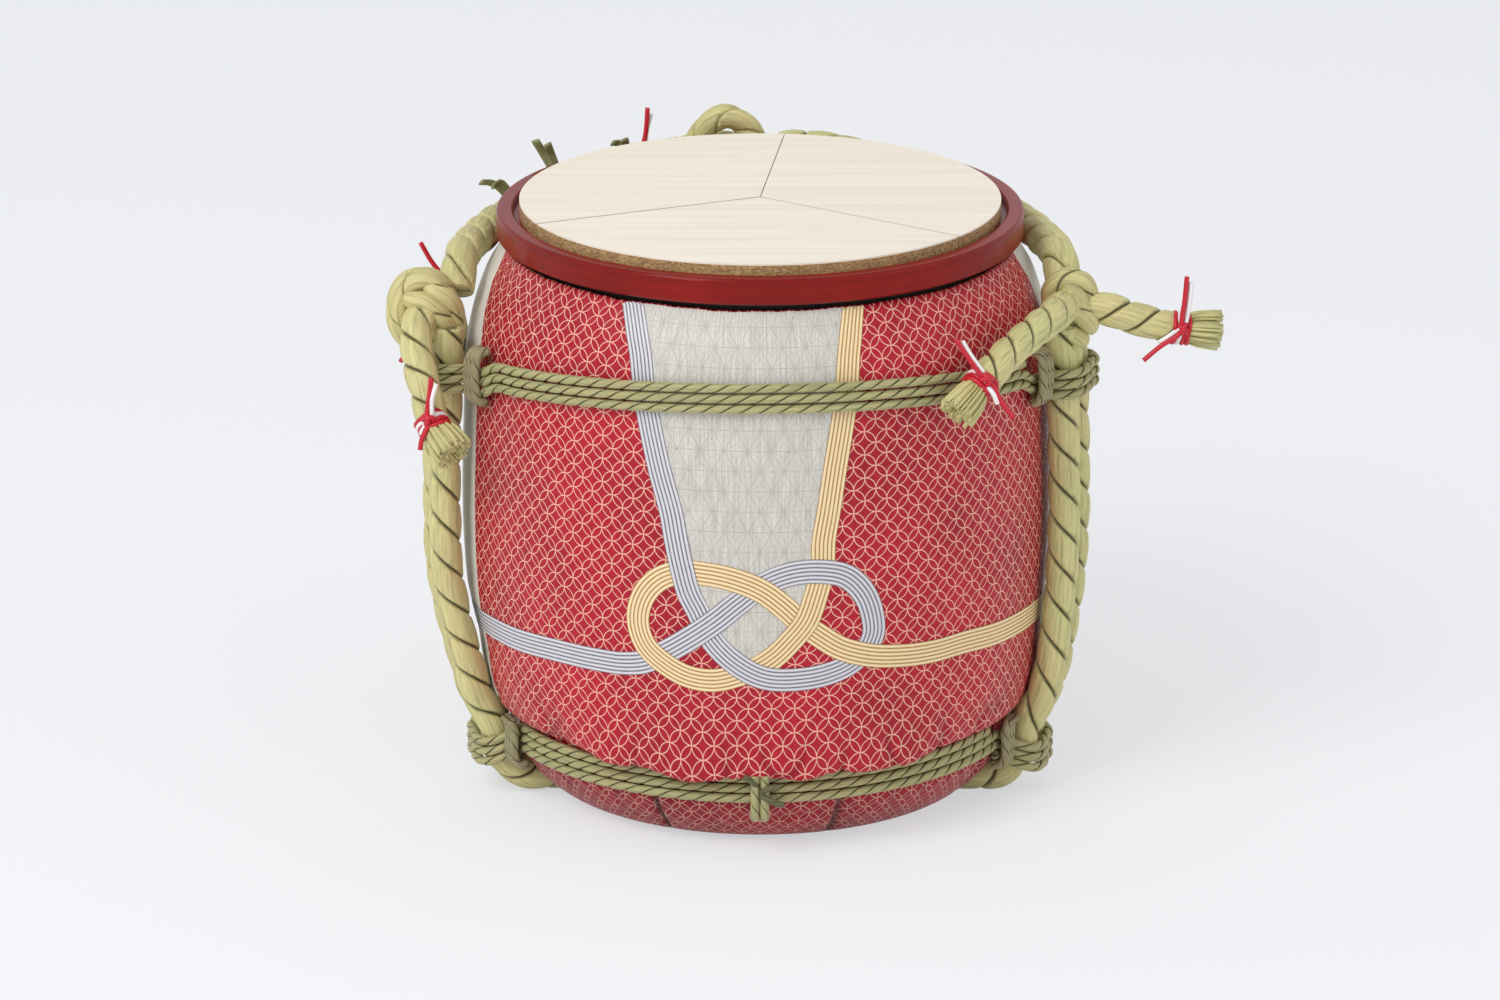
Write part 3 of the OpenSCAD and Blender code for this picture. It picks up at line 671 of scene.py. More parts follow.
def printed_band(name, pale, line, stripes):
    """A twisted paper cord printed on the mat: pale stripes side by side with thin dark lines
    between them, a little shinier than the ground"""
    material, tree, shader = surface(name, Roughness=0.42, Specular_IOR_Level=0.35)
    uv = add(tree, "UVMap", uv_map="print")[0]
    across = add(tree, "SeparateXYZ", {0: uv})[0]
    share = add(tree, "Math", {0: across, 1: stripes}, operation="MULTIPLY")[0]
    inner = add(tree, "Math", {0: share}, operation="FRACT")[0]
    off = add(tree, "Math", {0: inner, 1: 0.5}, operation="SUBTRACT")[0]
    off = add(tree, "Math", {0: off}, operation="ABSOLUTE")[0]
    lit = add(tree, "MapRange", {"Value": off, "From Min": 0.0, "From Max": 0.34,
                                 "To Min": 1.07, "To Max": 0.9})[0]
    body = add(tree, "Mix", {0: 1.0, 6: shade(pale), 7: lit}, data_type="RGBA",
               blend_type="MULTIPLY")[2]
    # The dark lines thin out where the ribs of the mat, of 3 mm along the band, held no ink
    dark = add(tree, "MapRange", {"Value": off, "From Min": 0.27, "From Max": 0.37})[0]
    rib = fibres(tree, uv, (40, 0.3, 1))
    worn = add(tree, "MapRange", {"Value": rib, "From Min": 0.3, "From Max": 0.6,
                                  "To Min": 0.7, "To Max": 1.0})[0]
    dark = add(tree, "Math", {0: dark, 1: worn}, operation="MULTIPLY")[0]
    tone = add(tree, "Mix", {0: dark, 6: body, 7: paint(line)}, data_type="RGBA")[2]
    give_finish(tree, shader, tone, off, 0.25, 0.0003, invert=True)
    return material


def white_panel(colours, sizes):
    """Bleached straw print ground: fine upright fibres, dark flecks, and a hemp leaf pattern
    in faint beige"""
    material, tree, shader = surface("Bleached straw print ground", Roughness=0.55)
    uv = add(tree, "UVMap", uv_map="print")[0]
    # A point's three shares of the way across its triangle
    height = sizes.leaf * 1000 * math.sqrt(3) / 2
    shares = []
    for angle in (90, 210, 330):
        across = polar(angle, 1 / height, 0)
        dot = add(tree, "VectorMath", {0: uv, 1: across}, operation="DOT_PRODUCT")["Value"]
        shares.append(add(tree, "Math", {0: dot}, operation="FRACT")[0])
    total = add(tree, "Math", {0: shares[0], 1: shares[1]}, operation="ADD")[0]
    total = add(tree, "Math", {0: total, 1: shares[2]}, operation="ADD")[0]
    flip = add(tree, "Math", {0: total, 1: 1.5}, operation="GREATER_THAN")[0]
    sides = []
    for share in shares:
        off = add(tree, "Math", {0: share, 1: flip}, operation="SUBTRACT")[0]
        sides.append(add(tree, "Math", {0: off}, operation="ABSOLUTE")[0])
    ends = []
    for which in ("MINIMUM", "MAXIMUM"):
        end = add(tree, "Math", {0: sides[0], 1: sides[1]}, operation=which)[0]
        ends.append(add(tree, "Math", {0: end, 1: sides[2]}, operation=which)[0])
    least, most = ends
    # The middle share less the least one is nought on the lines from corners to centre
    middle = add(tree, "Math", {0: 1.0, 1: least}, operation="SUBTRACT")[0]
    middle = add(tree, "Math", {0: middle, 1: most}, operation="SUBTRACT")[0]
    spoke = add(tree, "Math", {0: middle, 1: least}, operation="SUBTRACT")[0]
    near = add(tree, "Math", {0: least, 1: spoke}, operation="MINIMUM")[0]
    leaf = add(tree, "MapRange", {"Value": near, "From Min": 0.01, "From Max": 0.035,
                                  "To Min": 0.5, "To Max": 0.0})[0]
    # Fibres of 0.8 mm that run up the panel for 14 mm
    fibre = fibres(tree, uv, (1.3, 0.07, 1), 3)
    fibre = add(tree, "MapRange", {"Value": fibre, "From Min": 0.3, "From Max": 0.7})[0]
    ground = add(tree, "Mix", {0: fibre, 6: shade(colours.panel, 0.8),
                               7: shade(colours.panel, 1.16)}, data_type="RGBA")[2]
    printed = add(tree, "Mix", {0: leaf, 6: ground, 7: paint("#A5967C")}, data_type="RGBA")[2]
    # A dark fleck of a millimetre here and there
    fleck = fibres(tree, uv, (0.62, 0.4, 1), 1)
    spot = add(tree, "MapRange", {"Value": fleck, "From Min": 0.77, "From Max": 0.82,
                                  "To Max": 0.75})[0]
    tone = add(tree, "Mix", {0: spot, 6: printed, 7: paint("#5B5648")}, data_type="RGBA")[2]
    give_finish(tree, shader, tone, fibre, 0.3, 0.0003)
    return material


def paper_cord(name, code):
    """Twisted paper cord with a coat of size: smooth, fine spiral, silky"""
    material, tree, shader = surface(name, Roughness=0.42)
    lay = add(tree, "Attribute", attribute_name="lay")["Vector"]
    fibre = fibres(tree, lay, (1.2, 1.2, 1.6))
    rgb = to_linear(code)
    tone = add(tree, "Mix", {0: fibre, 6: shade(rgb, 0.75), 7: shade(rgb, 1.2)},
               data_type="RGBA")[2]
    give_finish(tree, shader, tone, fibre, 0.2, 0.0002)
    return material


def sawn_wood(name, pale, dark, along, rings=240.0, outside=None):
    """Planed softwood: straight grain along one axis, with bands of harder summer wood.
    rings is how many there are to a metre, and outside a dark colour painted as shade on what
    faces the gap close under the rim"""
    material, tree, shader = surface(name, Roughness=0.6)
    place = add(tree, "TexCoord")["Object"]
    # A ring's line is 22 times as long as it is wide, and clouds of 17 mm run on for 200 mm
    narrow, broad = [rings] * 3, [60.0] * 3
    narrow[along], broad[along] = rings / 22, 5.0
    grain = fibres(tree, place, narrow, 4, Roughness=0.6, Distortion=0.3)
    cloud = fibres(tree, place, broad)
    both = add(tree, "Math", {0: grain, 1: cloud}, operation="ADD")[0]
    share = add(tree, "MapRange", {"Value": both, "From Min": 0.75, "From Max": 1.25})[0]
    tone = add(tree, "Mix", {0: share, 6: paint(dark), 7: paint(pale)}, data_type="RGBA")[2]
    # Painted shade: outer faces beyond the gap radius, in the gap under the rim, are painted dark
    if outside:
        out = add(tree, "VectorMath", {0: place, 1: (1, 1, 0)}, operation="MULTIPLY")["Vector"]
        out = add(tree, "VectorMath", {0: out}, operation="LENGTH")["Value"]
        far = add(tree, "Math", {0: out, 1: GAP_SHADE_R / 1000}, operation="GREATER_THAN")[0]
        tone = add(tree, "Mix", {0: far, 6: tone, 7: paint(outside)}, data_type="RGBA")[2]
    give_finish(tree, shader, tone, grain, 0.25, 0.0003)
    return material


def sliced_veneer():
    """Sliced pale veneer: a faint straight grain, and thin brown lines where its parts meet"""
    material, tree, shader = surface("Sliced pale veneer", Roughness=0.5)
    place = add(tree, "TexCoord")["Object"]
    # Grain lines of 5 mm that run on for 110 mm
    grain = fibres(tree, place, (9, 210, 210), 4)
    share = add(tree, "MapRange", {"Value": grain, "From Min": 0.35, "From Max": 0.65})[0]
    tone = add(tree, "Mix", {0: share, 6: paint("#EEE3D1"), 7: paint("#F5ECDD")},
               data_type="RGBA")[2]
    for angle, strength in ((204, 0.85), (324, 0.45)):
        off = add(tree, "VectorMath", {0: place, 1: polar(angle - 90, 1, 0)},
                  operation="DOT_PRODUCT")["Value"]
        off = add(tree, "Math", {0: off}, operation="ABSOLUTE")[0]
        line = add(tree, "MapRange", {"Value": off, "From Min": 0.0002, "From Max": 0.0007,
                                      "To Min": strength, "To Max": 0.0})[0]
        along = add(tree, "VectorMath", {0: place, 1: polar(angle, 1, 0)},
                    operation="DOT_PRODUCT")["Value"]
        there = add(tree, "Math", {0: along, 1: 0.0}, operation="GREATER_THAN")[0]
        line = add(tree, "Math", {0: line, 1: there}, operation="MULTIPLY")[0]
        tone = add(tree, "Mix", {0: line, 6: tone, 7: paint("#B08D5E")}, data_type="RGBA")[2]
    give_finish(tree, shader, tone, grain, 0.1, 0.0002)
    return material


def red_lacquer(colours):
    """Vermilion lacquer brushed on turned wood: a glossy coat over fine turning lines"""
    material, tree, shader = surface("Vermilion lacquer", Roughness=0.36, Coat_Weight=0.25,
                                     Coat_Roughness=0.12, Specular_IOR_Level=0.08)
    place = add(tree, "TexCoord")["Object"]
    at = add(tree, "SeparateXYZ", {0: place})
    flat = add(tree, "CombineXYZ", {0: at[0], 1: at[1]})[0]
    out = add(tree, "VectorMath", {0: flat}, operation="LENGTH")["Value"]
    # Turning lines are 0.7 mm apart on the flat and on the wall
    rings = add(tree, "CombineXYZ", {0: out, 1: 0.0, 2: at[2]})[0]
    lines = fibres(tree, rings, (1500, 1, 1500))
    wash = add(tree, "TexNoise", {"Vector": place, "Scale": 30.0, "Detail": 3})["Fac"]
    both = add(tree, "Math", {0: lines, 1: wash}, operation="ADD")[0]
    share = add(tree, "MapRange", {"Value": both, "From Min": 0.7, "From Max": 1.3})[0]
    tone = add(tree, "Mix", {0: share, 6: shade(colours.lacquer, 0.72),
                             7: shade(colours.lacquer, 1.25)}, data_type="RGBA")[2]
    give_finish(tree, shader, tone, lines, 0.3, 0.00025)
    return material


def pressed_core():
    """Pressed board seen on its sawn edge: tan with light and dark chips"""
    material, tree, shader = surface("Pressed board edge", Roughness=0.8)
    place = add(tree, "TexCoord")["Object"]
    # Chips a millimetre long and 0.6 mm thick
    way = add(tree, "Mapping", {"Vector": place, "Scale": (1050, 1050, 1700)})[0]
    chips = add(tree, "TexVoronoi", {"Vector": way, "Scale": 1.0})["Color"]
    cloud = add(tree, "TexNoise", {"Vector": way, "Scale": 0.5, "Detail": 3})["Fac"]
    chip = add(tree, "SeparateXYZ", {0: chips})[0]
    both = add(tree, "Math", {0: chip, 1: cloud}, operation="MULTIPLY")[0]
    share = add(tree, "MapRange", {"Value": both, "From Min": 0.0, "From Max": 0.55})[0]
    tone = add(tree, "Mix", {0: share, 6: paint("#8D6C43"), 7: paint("#C9A877")},
               data_type="RGBA")[2]
    give_finish(tree, shader, tone, both, 0.5, 0.0004)
    return material


# Ways of the ropes and cords


def beside(leg, out, side, z):
    """A point beside the middle of a pair of ropes"""
    a = math.radians(LEGS[leg])
    return Vector((out * math.cos(a) - side * math.sin(a),
                   out * math.sin(a) + side * math.cos(a), z))


def polar(az, r, z):
    """A point by its direction, its distance from the middle and its height"""
    a = math.radians(az)
    return Vector((r * math.cos(a), r * math.sin(a), z))


def lie_r(z):
    """How far out the middle of a rope on the mat is"""
    return mat_r(z) + GAP + ROPE_R


def top_r(leg):
    return lie_r(PAIR_TOPS[leg] - 5)


# How much further out than the mat's face the rope lies on each side of a pair
FURTHER = {("right", -1): 1.0, ("right", 1): 2.5, ("back", -1): 0.3, ("back", 1): 0.3,
           ("left", -1): 5.3, ("left", 1): 5.2}
# Each thick rope's two sides and the radius of its bend under the base
ROPE_WAYS = {"rope_right": ("right", "back", 34), "rope_left": ("back", "left", 34),
             "rope_front": ("left", "right", 100)}


def rope_way(name):
    """A thick rope's way: down beside one leg, round under the base, and up the next"""
    first, last, bend = ROPE_WAYS[name]
    opening = (LEGS[last] - LEGS[first]) % 360
    middle = LEGS[first] + opening / 2
    far = (PAIR_W / 2 + bend) / math.sin(math.radians(opening / 2))
    straight = (PAIR_W / 2 + bend) / math.tan(math.radians(opening / 2))

    def down(leg, side):
        def out(z):
            return lie_r(z) + FURTHER[leg, side] * step01(44, 90, z)

        top = PAIR_TOPS[leg]
        way = [(out(top - 5), top + 3), (out(top - 5), top - 3)]
        z = top - 14
        while z > 60:
            way.append((out(z), z))
            z -= 20
        way += [(lie_r(50), 50), (lie_r(42) - 0.6, 40.5), (TURN_IN_AT + TURN_IN_R + 2.8, 31)]
        for a in range(0, -91, -15):
            way.append((TURN_IN_AT + TURN_IN_R * math.cos(math.radians(a)),
                        LOW_Z + TURN_IN_R + TURN_IN_R * math.sin(math.radians(a))))
        r = TURN_IN_AT - 16
        while r > straight + 5:
            way.append((r, LOW_Z))
            r -= 16
        return [beside(leg, q[0], side * (PAIR_W + (WALL_W - PAIR_W) * step01(20, 50, q[1])) / 2,
                       q[1]) for q in way]

    centre = polar(middle, far, LOW_Z)
    under = [centre + polar(middle + 180 - (180 - opening) * (t / 6 - 0.5), bend, 0)
             for t in range(7)]
    return down(first, 1) + under + down(last, -1)[::-1]


# A knot's middle lies so far above its pair's top, and a rope leaves it so far from the middle
KNOT_SEAT = 11


def knot_at(leg):
    return polar(LEGS[leg], top_r(leg) + 1, PAIR_TOPS[leg] + KNOT_SEAT)


def leave(leg, to, depth=KNOT_SEAT):
    """Where a rope that goes to a point leaves a knot"""
    return knot_at(leg) + depth * (to - knot_at(leg)).normalized()


# The rope round the shoulder: direction, out, and up from the staves' tops
SHOULDER = [(-7.6, 115, -13), (-1, 112.2, -10.6), (8, 109.8, -11.2), (16, 109.4, -11.6),
            (26, 109.4, -11.6), (38, 109.4, -11.6), (50, 109.4, -11.6), (62, 109.4, -11.8),
            (72, 109.9, -12.4), (79, 110.8, -12.6)]


def shoulder_way(side):
    """The way of the rope round the shoulder on one side, from knot to knot"""
    way = [polar(az if side > 0 else 180 - az, r, STAVE_TOP + up) for az, r, up in SHOULDER]
    return ([leave("right" if side > 0 else "left", way[0], 4)] + way
            + [leave("back", way[-1], 4)])


# How a winding passes over a pair: sideways and out from the pair's middle, and the share of
# its dip that it has taken there
OVER_R = (ROPE_R + GAP / 2 + CORD_R) / math.cos(math.radians(22.5))
HALF = WALL_W / 2
OVER = [(-HALF - OVER_R - 7, -ROPE_R - GAP), (-HALF - OVER_R - 3.4, -ROPE_R - GAP + 0.8),
        (-HALF - OVER_R - 0.6, -ROPE_R * 0.42), (-HALF - OVER_R - 0.2, 1),
        (-HALF - OVER_R * 0.71, OVER_R * 0.71), (-HALF, OVER_R), (0, OVER_R - 0.3)]
OVER += [(-x, y) for x, y in OVER[-2::-1]]
OVER_SHARE = [0, 0.12, 0.5, 0.7, 0.95, 1, 1, 1, 0.95, 0.7, 0.5, 0.12, 0]


def sash_height(az):
    """The upper winding's height in a direction: it rises to the front, and a little behind"""
    s = math.sin(math.radians(az))
    return SASH_Z + SASH_RISE * max(0, -s) + 5 * max(0, s)


def winding_way(lower):
    """Three turns of thin cord round the mat, over each pair of ropes"""
    pair_r, dip = (WAIST_R, WAIST_DIP) if lower else (lie_r(SASH_Z + 4), 0)
    legs = list(LEGS.items())
    start = legs[0][1]
    legs.append(("right", start + 360))
    points = []
    for turn in range(TURNS):
        for (leg, here), (_, after) in zip(legs, legs[1:]):
            z = WAIST_Z if lower else sash_height(here)
            on = mat_r(z) + swell(here, z) + GAP + CORD_R
            part = []
            for (x, y), share in zip(OVER, OVER_SHARE):
                flat = math.sqrt(on ** 2 - x ** 2)
                back, front = (0, 0) if lower else (FURTHER[leg, -1], FURTHER[leg, 1])
                more = (back + (front - back) * step01(-HALF, HALF, x)) * share
                out = flat if share == 0 else max(pair_r + y + more, flat)
                part.append((here + math.degrees(math.atan(x / out)), math.hypot(out, x),
                             z - dip * share))
            # Between the crossings it lies on the mat
            opening = after - here - 2 * CROSSING
            steps = round(opening / 6)
            for j in range(steps + 1):
                az = here + CROSSING + opening * j / steps
                z = WAIST_Z if lower else sash_height(az)
                part.append((az, mat_r(z) + swell(az, z) + GAP + CORD_R, z))
            for az, r, z in part:
                climb = TURN_RISE * (turn + (az - start + 16) / 360 - TURNS / 2)
                points.append(polar(az, r, z + climb))
    return points


def hitch_turns(directions, z):
    """Turns of cord that hold a winding against the mat"""
    ways = []
    for az in directions:
        more = swell(az, z)
        out_r = mat_r(z) + 3 * CORD_R + 3 * GAP + 0.5
        up = TURN_RISE * TURNS / 2 + CORD_R + GAP + CORD_R

        def half(way):
            end = z + way * up
            mat = max(mat_r(end), mat_r(end - way * CORD_R)) + GAP + CORD_R
            if mat > out_r - 4:
                return [(out_r, z + way * (up - 5)), (max(out_r, mat), end - way)]
            return [(out_r, z + way * (up - 5)), (out_r - 0.4, z + way * (up - 2.6)),
                    (out_r - 2.2, end - way * 0.4), (mat, end)]

        ways.append([polar(az, r + more, h) for r, h in half(-1)[::-1] + half(1)])
    return ways


def hitch_ways(leg, lower):
    """The three turns beside a pair of ropes"""
    side = -1 if leg == "right" else 1
    directions = [LEGS[leg] + side * (LASHED_AT + LASHED_STEP * k) for k in range(3)]
    return [hitch_turns([az], WAIST_Z if lower else sash_height(az))[0] for az in directions]


# Tails of rope from the knots: direction, out, and up from the staves' tops
TAIL_WAYS = {
    ("right", "a"): [(-25.5, 121, -22.5), (-34.7, 120.7, -25.2), (-41.9, 121.8, -29.2),
                     (-46.2, 123.2, -32.8), (-49, 124, -36), (-55.6, 125.5, -45.5)],
    ("right", "b"): [(-10.2, 136.5, -28.4), (-9.3, 142.5, -31), (-8.6, 148.6, -33),
                     (-8, 154.9, -34.9), (-7.5, 160.5, -35.8), (-6.6, 172.9, -36.9)],
    ("back", "a"): [(95, 123, -4.5), (98.5, 129, -5.5), (103, 131.5, -7), (107.5, 131.5, -9),
                    (112, 131, -10.5), (117, 130, -12)],
    ("back", "b"): [(85.8, 123, -4), (81.5, 129, -5), (77, 131.5, -6.5), (72.5, 131.5, -8.5),
                    (68, 131, -10.5), (63, 130, -12)],
    ("left", "a"): [(197.2, 135.5, -31.5), (200.5, 137.2, -40.4), (203.2, 137.2, -48.4),
                    (205, 137.1, -55), (206.8, 137.4, -61.6), (212.9, 134.5, -71.4)],
    ("left", "b"): [(185.5, 122.5, -26), (181.5, 124.5, -28), (178, 125.5, -29.5),
                    (175, 126, -31), (172.6, 126, -32), (169.6, 126, -33.5)],
}
# How far each tie's two ends reach to the right and up
TIE_ENDS = {("right", "a"): [(-10.5, 15.5), (9.5, -15)],
            ("right", "b"): [(2.2, 20), (-15.5, -11)],
            ("back", "a"): [(3, 21.5), (8, -2)], ("back", "b"): [(9, 3), (-8, 4)],
            ("left", "a"): [(2.2, 15.5), (-4, -11)], ("left", "b"): [(-11.5, 17), (-20, -30)]}
# The ends of the short lashing in front: direction, out, and up from its middle
FRONT_ENDS = [((-90.6, -1.2, 3), (-91.8, 0.6, 5.4), (-93.2, 1.2, 7.4)),
              ((-89.6, -1, 1), (-87.8, 0.7, 2.4), (-86.2, 0.2, 3)),
              ((-89.8, -0.8, -0.6), (-87.6, 0.7, -2.8), (-85.2, 0.4, -4.4))]
# Ends of cord that stand up from under the shoulder rope: direction, out, and up from the
# staves' tops
CORD_ENDS = {
    "cord_end_1": [(138.3, 104.6, -4.8), (139, 107.2, 1), (141.2, 110, 9), (144.4, 110.5, 16)],
    "cord_end_2": [(119.6, 104.6, -4.8), (120.2, 107.2, 0.6), (121.4, 109.5, 6), (123.4, 110, 9)],
    "cord_end_3": [(156, 104.6, -4.7), (157, 107.6, 0.2), (159, 112, 4.6), (161.5, 116, 7)],
}
# How the two ribbons of such an end part at each of its points: sideways, both to the right,
# and down
PARTING = [(0.5, 0, 0), (0.8, 0.8, 0), (1.5, 2.6, -0.6), (2.3, 5, -1.8)]
# Each knot's bands: their thickness, then points to the right, up, and towards the viewer,
# from the knot's middle as it is seen from the front
KNOT_BANDS = {
    "right": [
        (4.2, [(-5, -4, -5), (-7, 1, -2), (-6.2, 5.5, 1), (-1.5, 9.3, 2), (4, 8.4, 1.5),
               (6.8, 3, 0), (6.6, -4, -1), (3, -9, -4)]),
        (3.8, [(-3, 5, -2), (0.5, 5.6, 3.6), (3.4, 2, 4.6), (4, -3, 3.4), (1, -8, -1)]),
        (4.4, [(-6, -3, -4), (-6.4, -1.2, 2), (-3.4, 0.6, 5.6), (1.6, -1, 7), (5.6, -5, 5.6),
               (6.8, -9.5, 1), (4, -11, -5)]),
        (4.2, [(-5.6, -4, 0), (-4.6, -6, 4.6), (-1, -9.6, 6), (3, -13.4, 4.4), (4.4, -16, -1)]),
        (5.0, [(0.5, -8, 2.5), (0.6, -15, 3.4), (0.4, -21, 3), (0.4, -26.5, 2)])],
    "left": [
        (4.8, [(-3, -20, -3), (-8, -14, 0), (-11, -6, 1.5), (-10.6, 2.6, 2), (-6, 8.8, 2),
               (0, 9.6, 2), (5.6, 5.4, 1), (8, 0, -2)]),
        (4.3, [(-6, 4, -2), (-5.4, 2.6, 4.6), (-1, 1.8, 6.8), (3, -1.6, 6.6), (6.4, -6.6, 4),
               (7.6, -12, 0), (5.5, -17, -4)]),
        (4.3, [(-1, 8, -1), (3, 6, 4), (7, 3, 4), (9.4, -2, 2), (10, -9, 0), (9.4, -18, -1)]),
        (4.2, [(-7, -8, -3), (-5.6, -7, 3.6), (-1, -8.4, 5.6), (3, -13, 4.6), (3, -20, 3)])],
    "back": [
        (5.0, [(-26, -8, 0), (-25, 3, 1), (-20, 12, 1), (-12.5, 16, 1), (-5, 12, 0), (0, 3, 0),
               (1, -8, 0)]),
        (4.6, [(-14, 0, 4), (-8, 0, 5), (-1, -2, 4.6), (5, -6, 3), (9, -12, 0)]),
        (4.6, [(-12, -12, 3), (-6, -8, 5), (1, -8, 5), (7, -12, 3)])],
}
# The lumps inside each knot: their two ends, to the right, back and up, and their radius
KNOT_CORES = {
    "right": [((-1, 0, -12), (0, 0, 9), 6.2), ((-6, 3, -14), (-4, 5, 2), 5.5)],
    "left": [((3, 1, -14), (0, 1, 8), 6.5), ((10, 3, -16), (6, 3, 2), 6.0)],
    "back": [((-13, 0, -6), (-13, 0, 9), 5.0), ((0, -2, -14), (2, -2, -1), 7.0)],
}
# How far from the pair's middle each knot was drawn when it was pulled tight
KNOT_MOVE = {"right": (2, 0, 0), "back": (-1, 2, 0.5), "left": (-10.5, -2, 0)}


def knot_seen(leg):
    """The middle of a knot as it was pulled tight"""
    return knot_at(leg) + Vector(KNOT_MOVE[leg])


def tail_points(key):
    """The points of a tail's way: from the knot to the tie, and then the brush's end"""
    return [polar(az, r, STAVE_TOP + up) for az, r, up in TAIL_WAYS[key]]


# The cord bands printed on the mat: length round it from the front, height along it, and
# the layer in which the band lies there. 0 is the lowest
SILVER = [(-57, 217.5, 1), (-55.3, 214.3, 1), (-48.4, 198.9, 1), (-44, 178.9, 1),
          (-38.2, 154.7, 1), (-33.4, 137.8, 1), (-31.6, 128.3, 2), (-29.3, 117.4, 2),
          (-26.5, 107.1, 1), (-23.6, 101.3, 0), (-17.9, 89.4, 0), (-10, 81.3, 1.6),
          (0.8, 75.2, 2), (15.3, 74.1, 1), (26.3, 75.7, 0.4), (34.5, 78.8, 0), (41.2, 84.4, 0),
          (43.8, 90.8, 1), (43.2, 97, 1), (39.2, 107.3, 1), (32.4, 114.1, 1.6),
          (22.1, 116.8, 2), (11.4, 116.2, 1), (2.2, 112.7, 0), (-7.8, 105.1, 0.6),
          (-17.1, 97.1, 2), (-25.9, 90.4, 1.5), (-36.6, 83.2, 0), (-45.3, 78.3, 0),
          (-54, 76.5, 0.5), (-64.4, 76, 1), (-84.1, 75.4, 1), (-108.7, 73.4, 1),
          (-132, 72, 1), (-155.4, 70.6, 1)]
GOLD = [(41, 218.4, 1), (39.8, 215, 1), (35.5, 200.3, 1), (32.5, 180, 1), (28.3, 155.6, 1),
        (25.6, 138.5, 1), (23.9, 128.9, 0.6), (23.4, 118, 0), (20.7, 106.8, 1),
        (17.2, 97.1, 2), (11.5, 89.7, 1.6), (5.8, 83.7, 0.6), (0.8, 80, 0), (-6.5, 76.7, 0),
        (-17.4, 73.6, 1), (-28.5, 74.7, 1.6), (-37.4, 79.2, 2), (-44.2, 85.3, 1.6),
        (-47.1, 94.2, 1), (-44.5, 105.2, 1), (-37.6, 112.8, 0.5), (-29.3, 115.9, 0),
        (-19.9, 115.8, 0.5), (-9.9, 114, 1.5), (0.7, 109.7, 2), (8.6, 103.5, 1),
        (15, 97.2, 0), (22.3, 91.4, 0.6), (29.8, 86.2, 1.6), (41.3, 81.9, 2), (54.8, 79.5, 1),
        (73.1, 78.3, 1), (83.3, 78.5, 1), (107.4, 77, 1), (132, 75.6, 1), (155.4, 74.4, 1)]


# Operators


def paint_new(bm, first, index):
    """Gives the faces that a bmesh got after its first ones another of the materials"""
    bm.faces.ensure_lookup_table()
    for face in bm.faces[first:]:
        face.material_index = index


class BARREL_OT_mat(bpy.types.Operator):
    """Wraps the printed mat round the tub, with its folded hem and its channels underneath"""
    bl_idname = "barrel.wrap_mat"
    bl_label = "Printed mat"

    def execute(self, context):
        scene = context.scene
        low, knee, high = MAT_T_BY_Z[0][1], look_up(FOOT_TOP, MAT_T_BY_Z), TOP_T
        # The profile, as radius, height, length along the print, and which side it is
        rows = [(HOLE_R + (BASE_R - HOLE_R) * i / BASE_ROWS, 0.0, 0, "under")
                for i in range(BASE_ROWS + 1)]
        rows += [(None, None, low + (knee - low) * i / FOOT_ROWS, "out")
                 for i in range(FOOT_ROWS)]
        rows += [(None, None, knee + (high - knee) * i / WALL_ROWS, "out")
                 for i in range(WALL_ROWS + 1)]
        # The cut edge, from its outer corner: further in and up
        rows += [(-0.9, 0.3, high, "edge"), (-2.3, -0.3, high, "edge")]
        for i in range(1, INNER_ROWS + 1):
            t = high - (high - INNER_LOW) * i / INNER_ROWS
            r, z, out, up = profile(t)
            r, z = r - MAT_THICK * out, z - MAT_THICK * up
            if z > FLOOR_Z + 1.5:
                rows.append((r, z, t, "in"))
        rows += [(INSIDE_R, FLOOR_Z, 0, "in")]
        rows += [(HOLE_R + INSIDE_R * (1 - i / 5), FLOOR_Z, 0, "in") for i in range(1, 6)]
        count = len(rows) - 1

        def fitted(turn, t):
            """The rows above the knee end at the uneven top edge"""
            return t if t < knee else knee + (t - knee) * (top_t(turn) - knee) / (high - knee)

        def place(u, v):
            r, z, t, where = rows[round(v * count)]
            turn = 2 * math.pi * u + math.pi / 2
            # Painted shade from the folds, kept as proud; the underside and inner side get none
            deep = 0.0
            if where == "out":
                point, deep = on_mat(turn, fitted(turn, t))
            elif where == "edge":
                point, deep = on_mat(turn, top_t(turn))
                out = math.hypot(point.x, point.y)
                point = Vector((point.x * (1 + r / out), point.y * (1 + r / out), point.z + z))
            else:
                point = Vector((r * math.cos(turn), r * math.sin(turn), z))
            if where in ("under", "out") and point.z < CHANNEL_Z + CHANNEL_R:
                point.z = max(point.z, ceiling(point.x, point.y))
            return point, (float(where != "out"), 0, 0), deep

        def chart(u, v):
            r, z, t, where = rows[round(v * count)]
            t = fitted(2 * math.pi * u + math.pi / 2, t)
            return (2 * math.pi * u - math.pi) * PRINT_R, t if where != "under" else r

        bm = new_mesh()
        bend_grid(bm, COLUMNS, count, place, chart, round_it=True)
        bmesh.ops.remove_doubles(bm, verts=bm.verts, dist=0.01)
        # Faces of the hem, the inner side and the underside show the bare straw
        lay = bm.verts.layers.float_vector["lay"]
        for face in bm.faces:
            face.material_index = int(all(v[lay].x > 0.5 for v in face.verts))
        piece = finish_piece("mat_printed_straw", bm,
                             [printed_matting(scene.barrel_colours, scene.barrel_print),
                              bare_matting()], ["mat_wrap"])
        return {"FINISHED"}


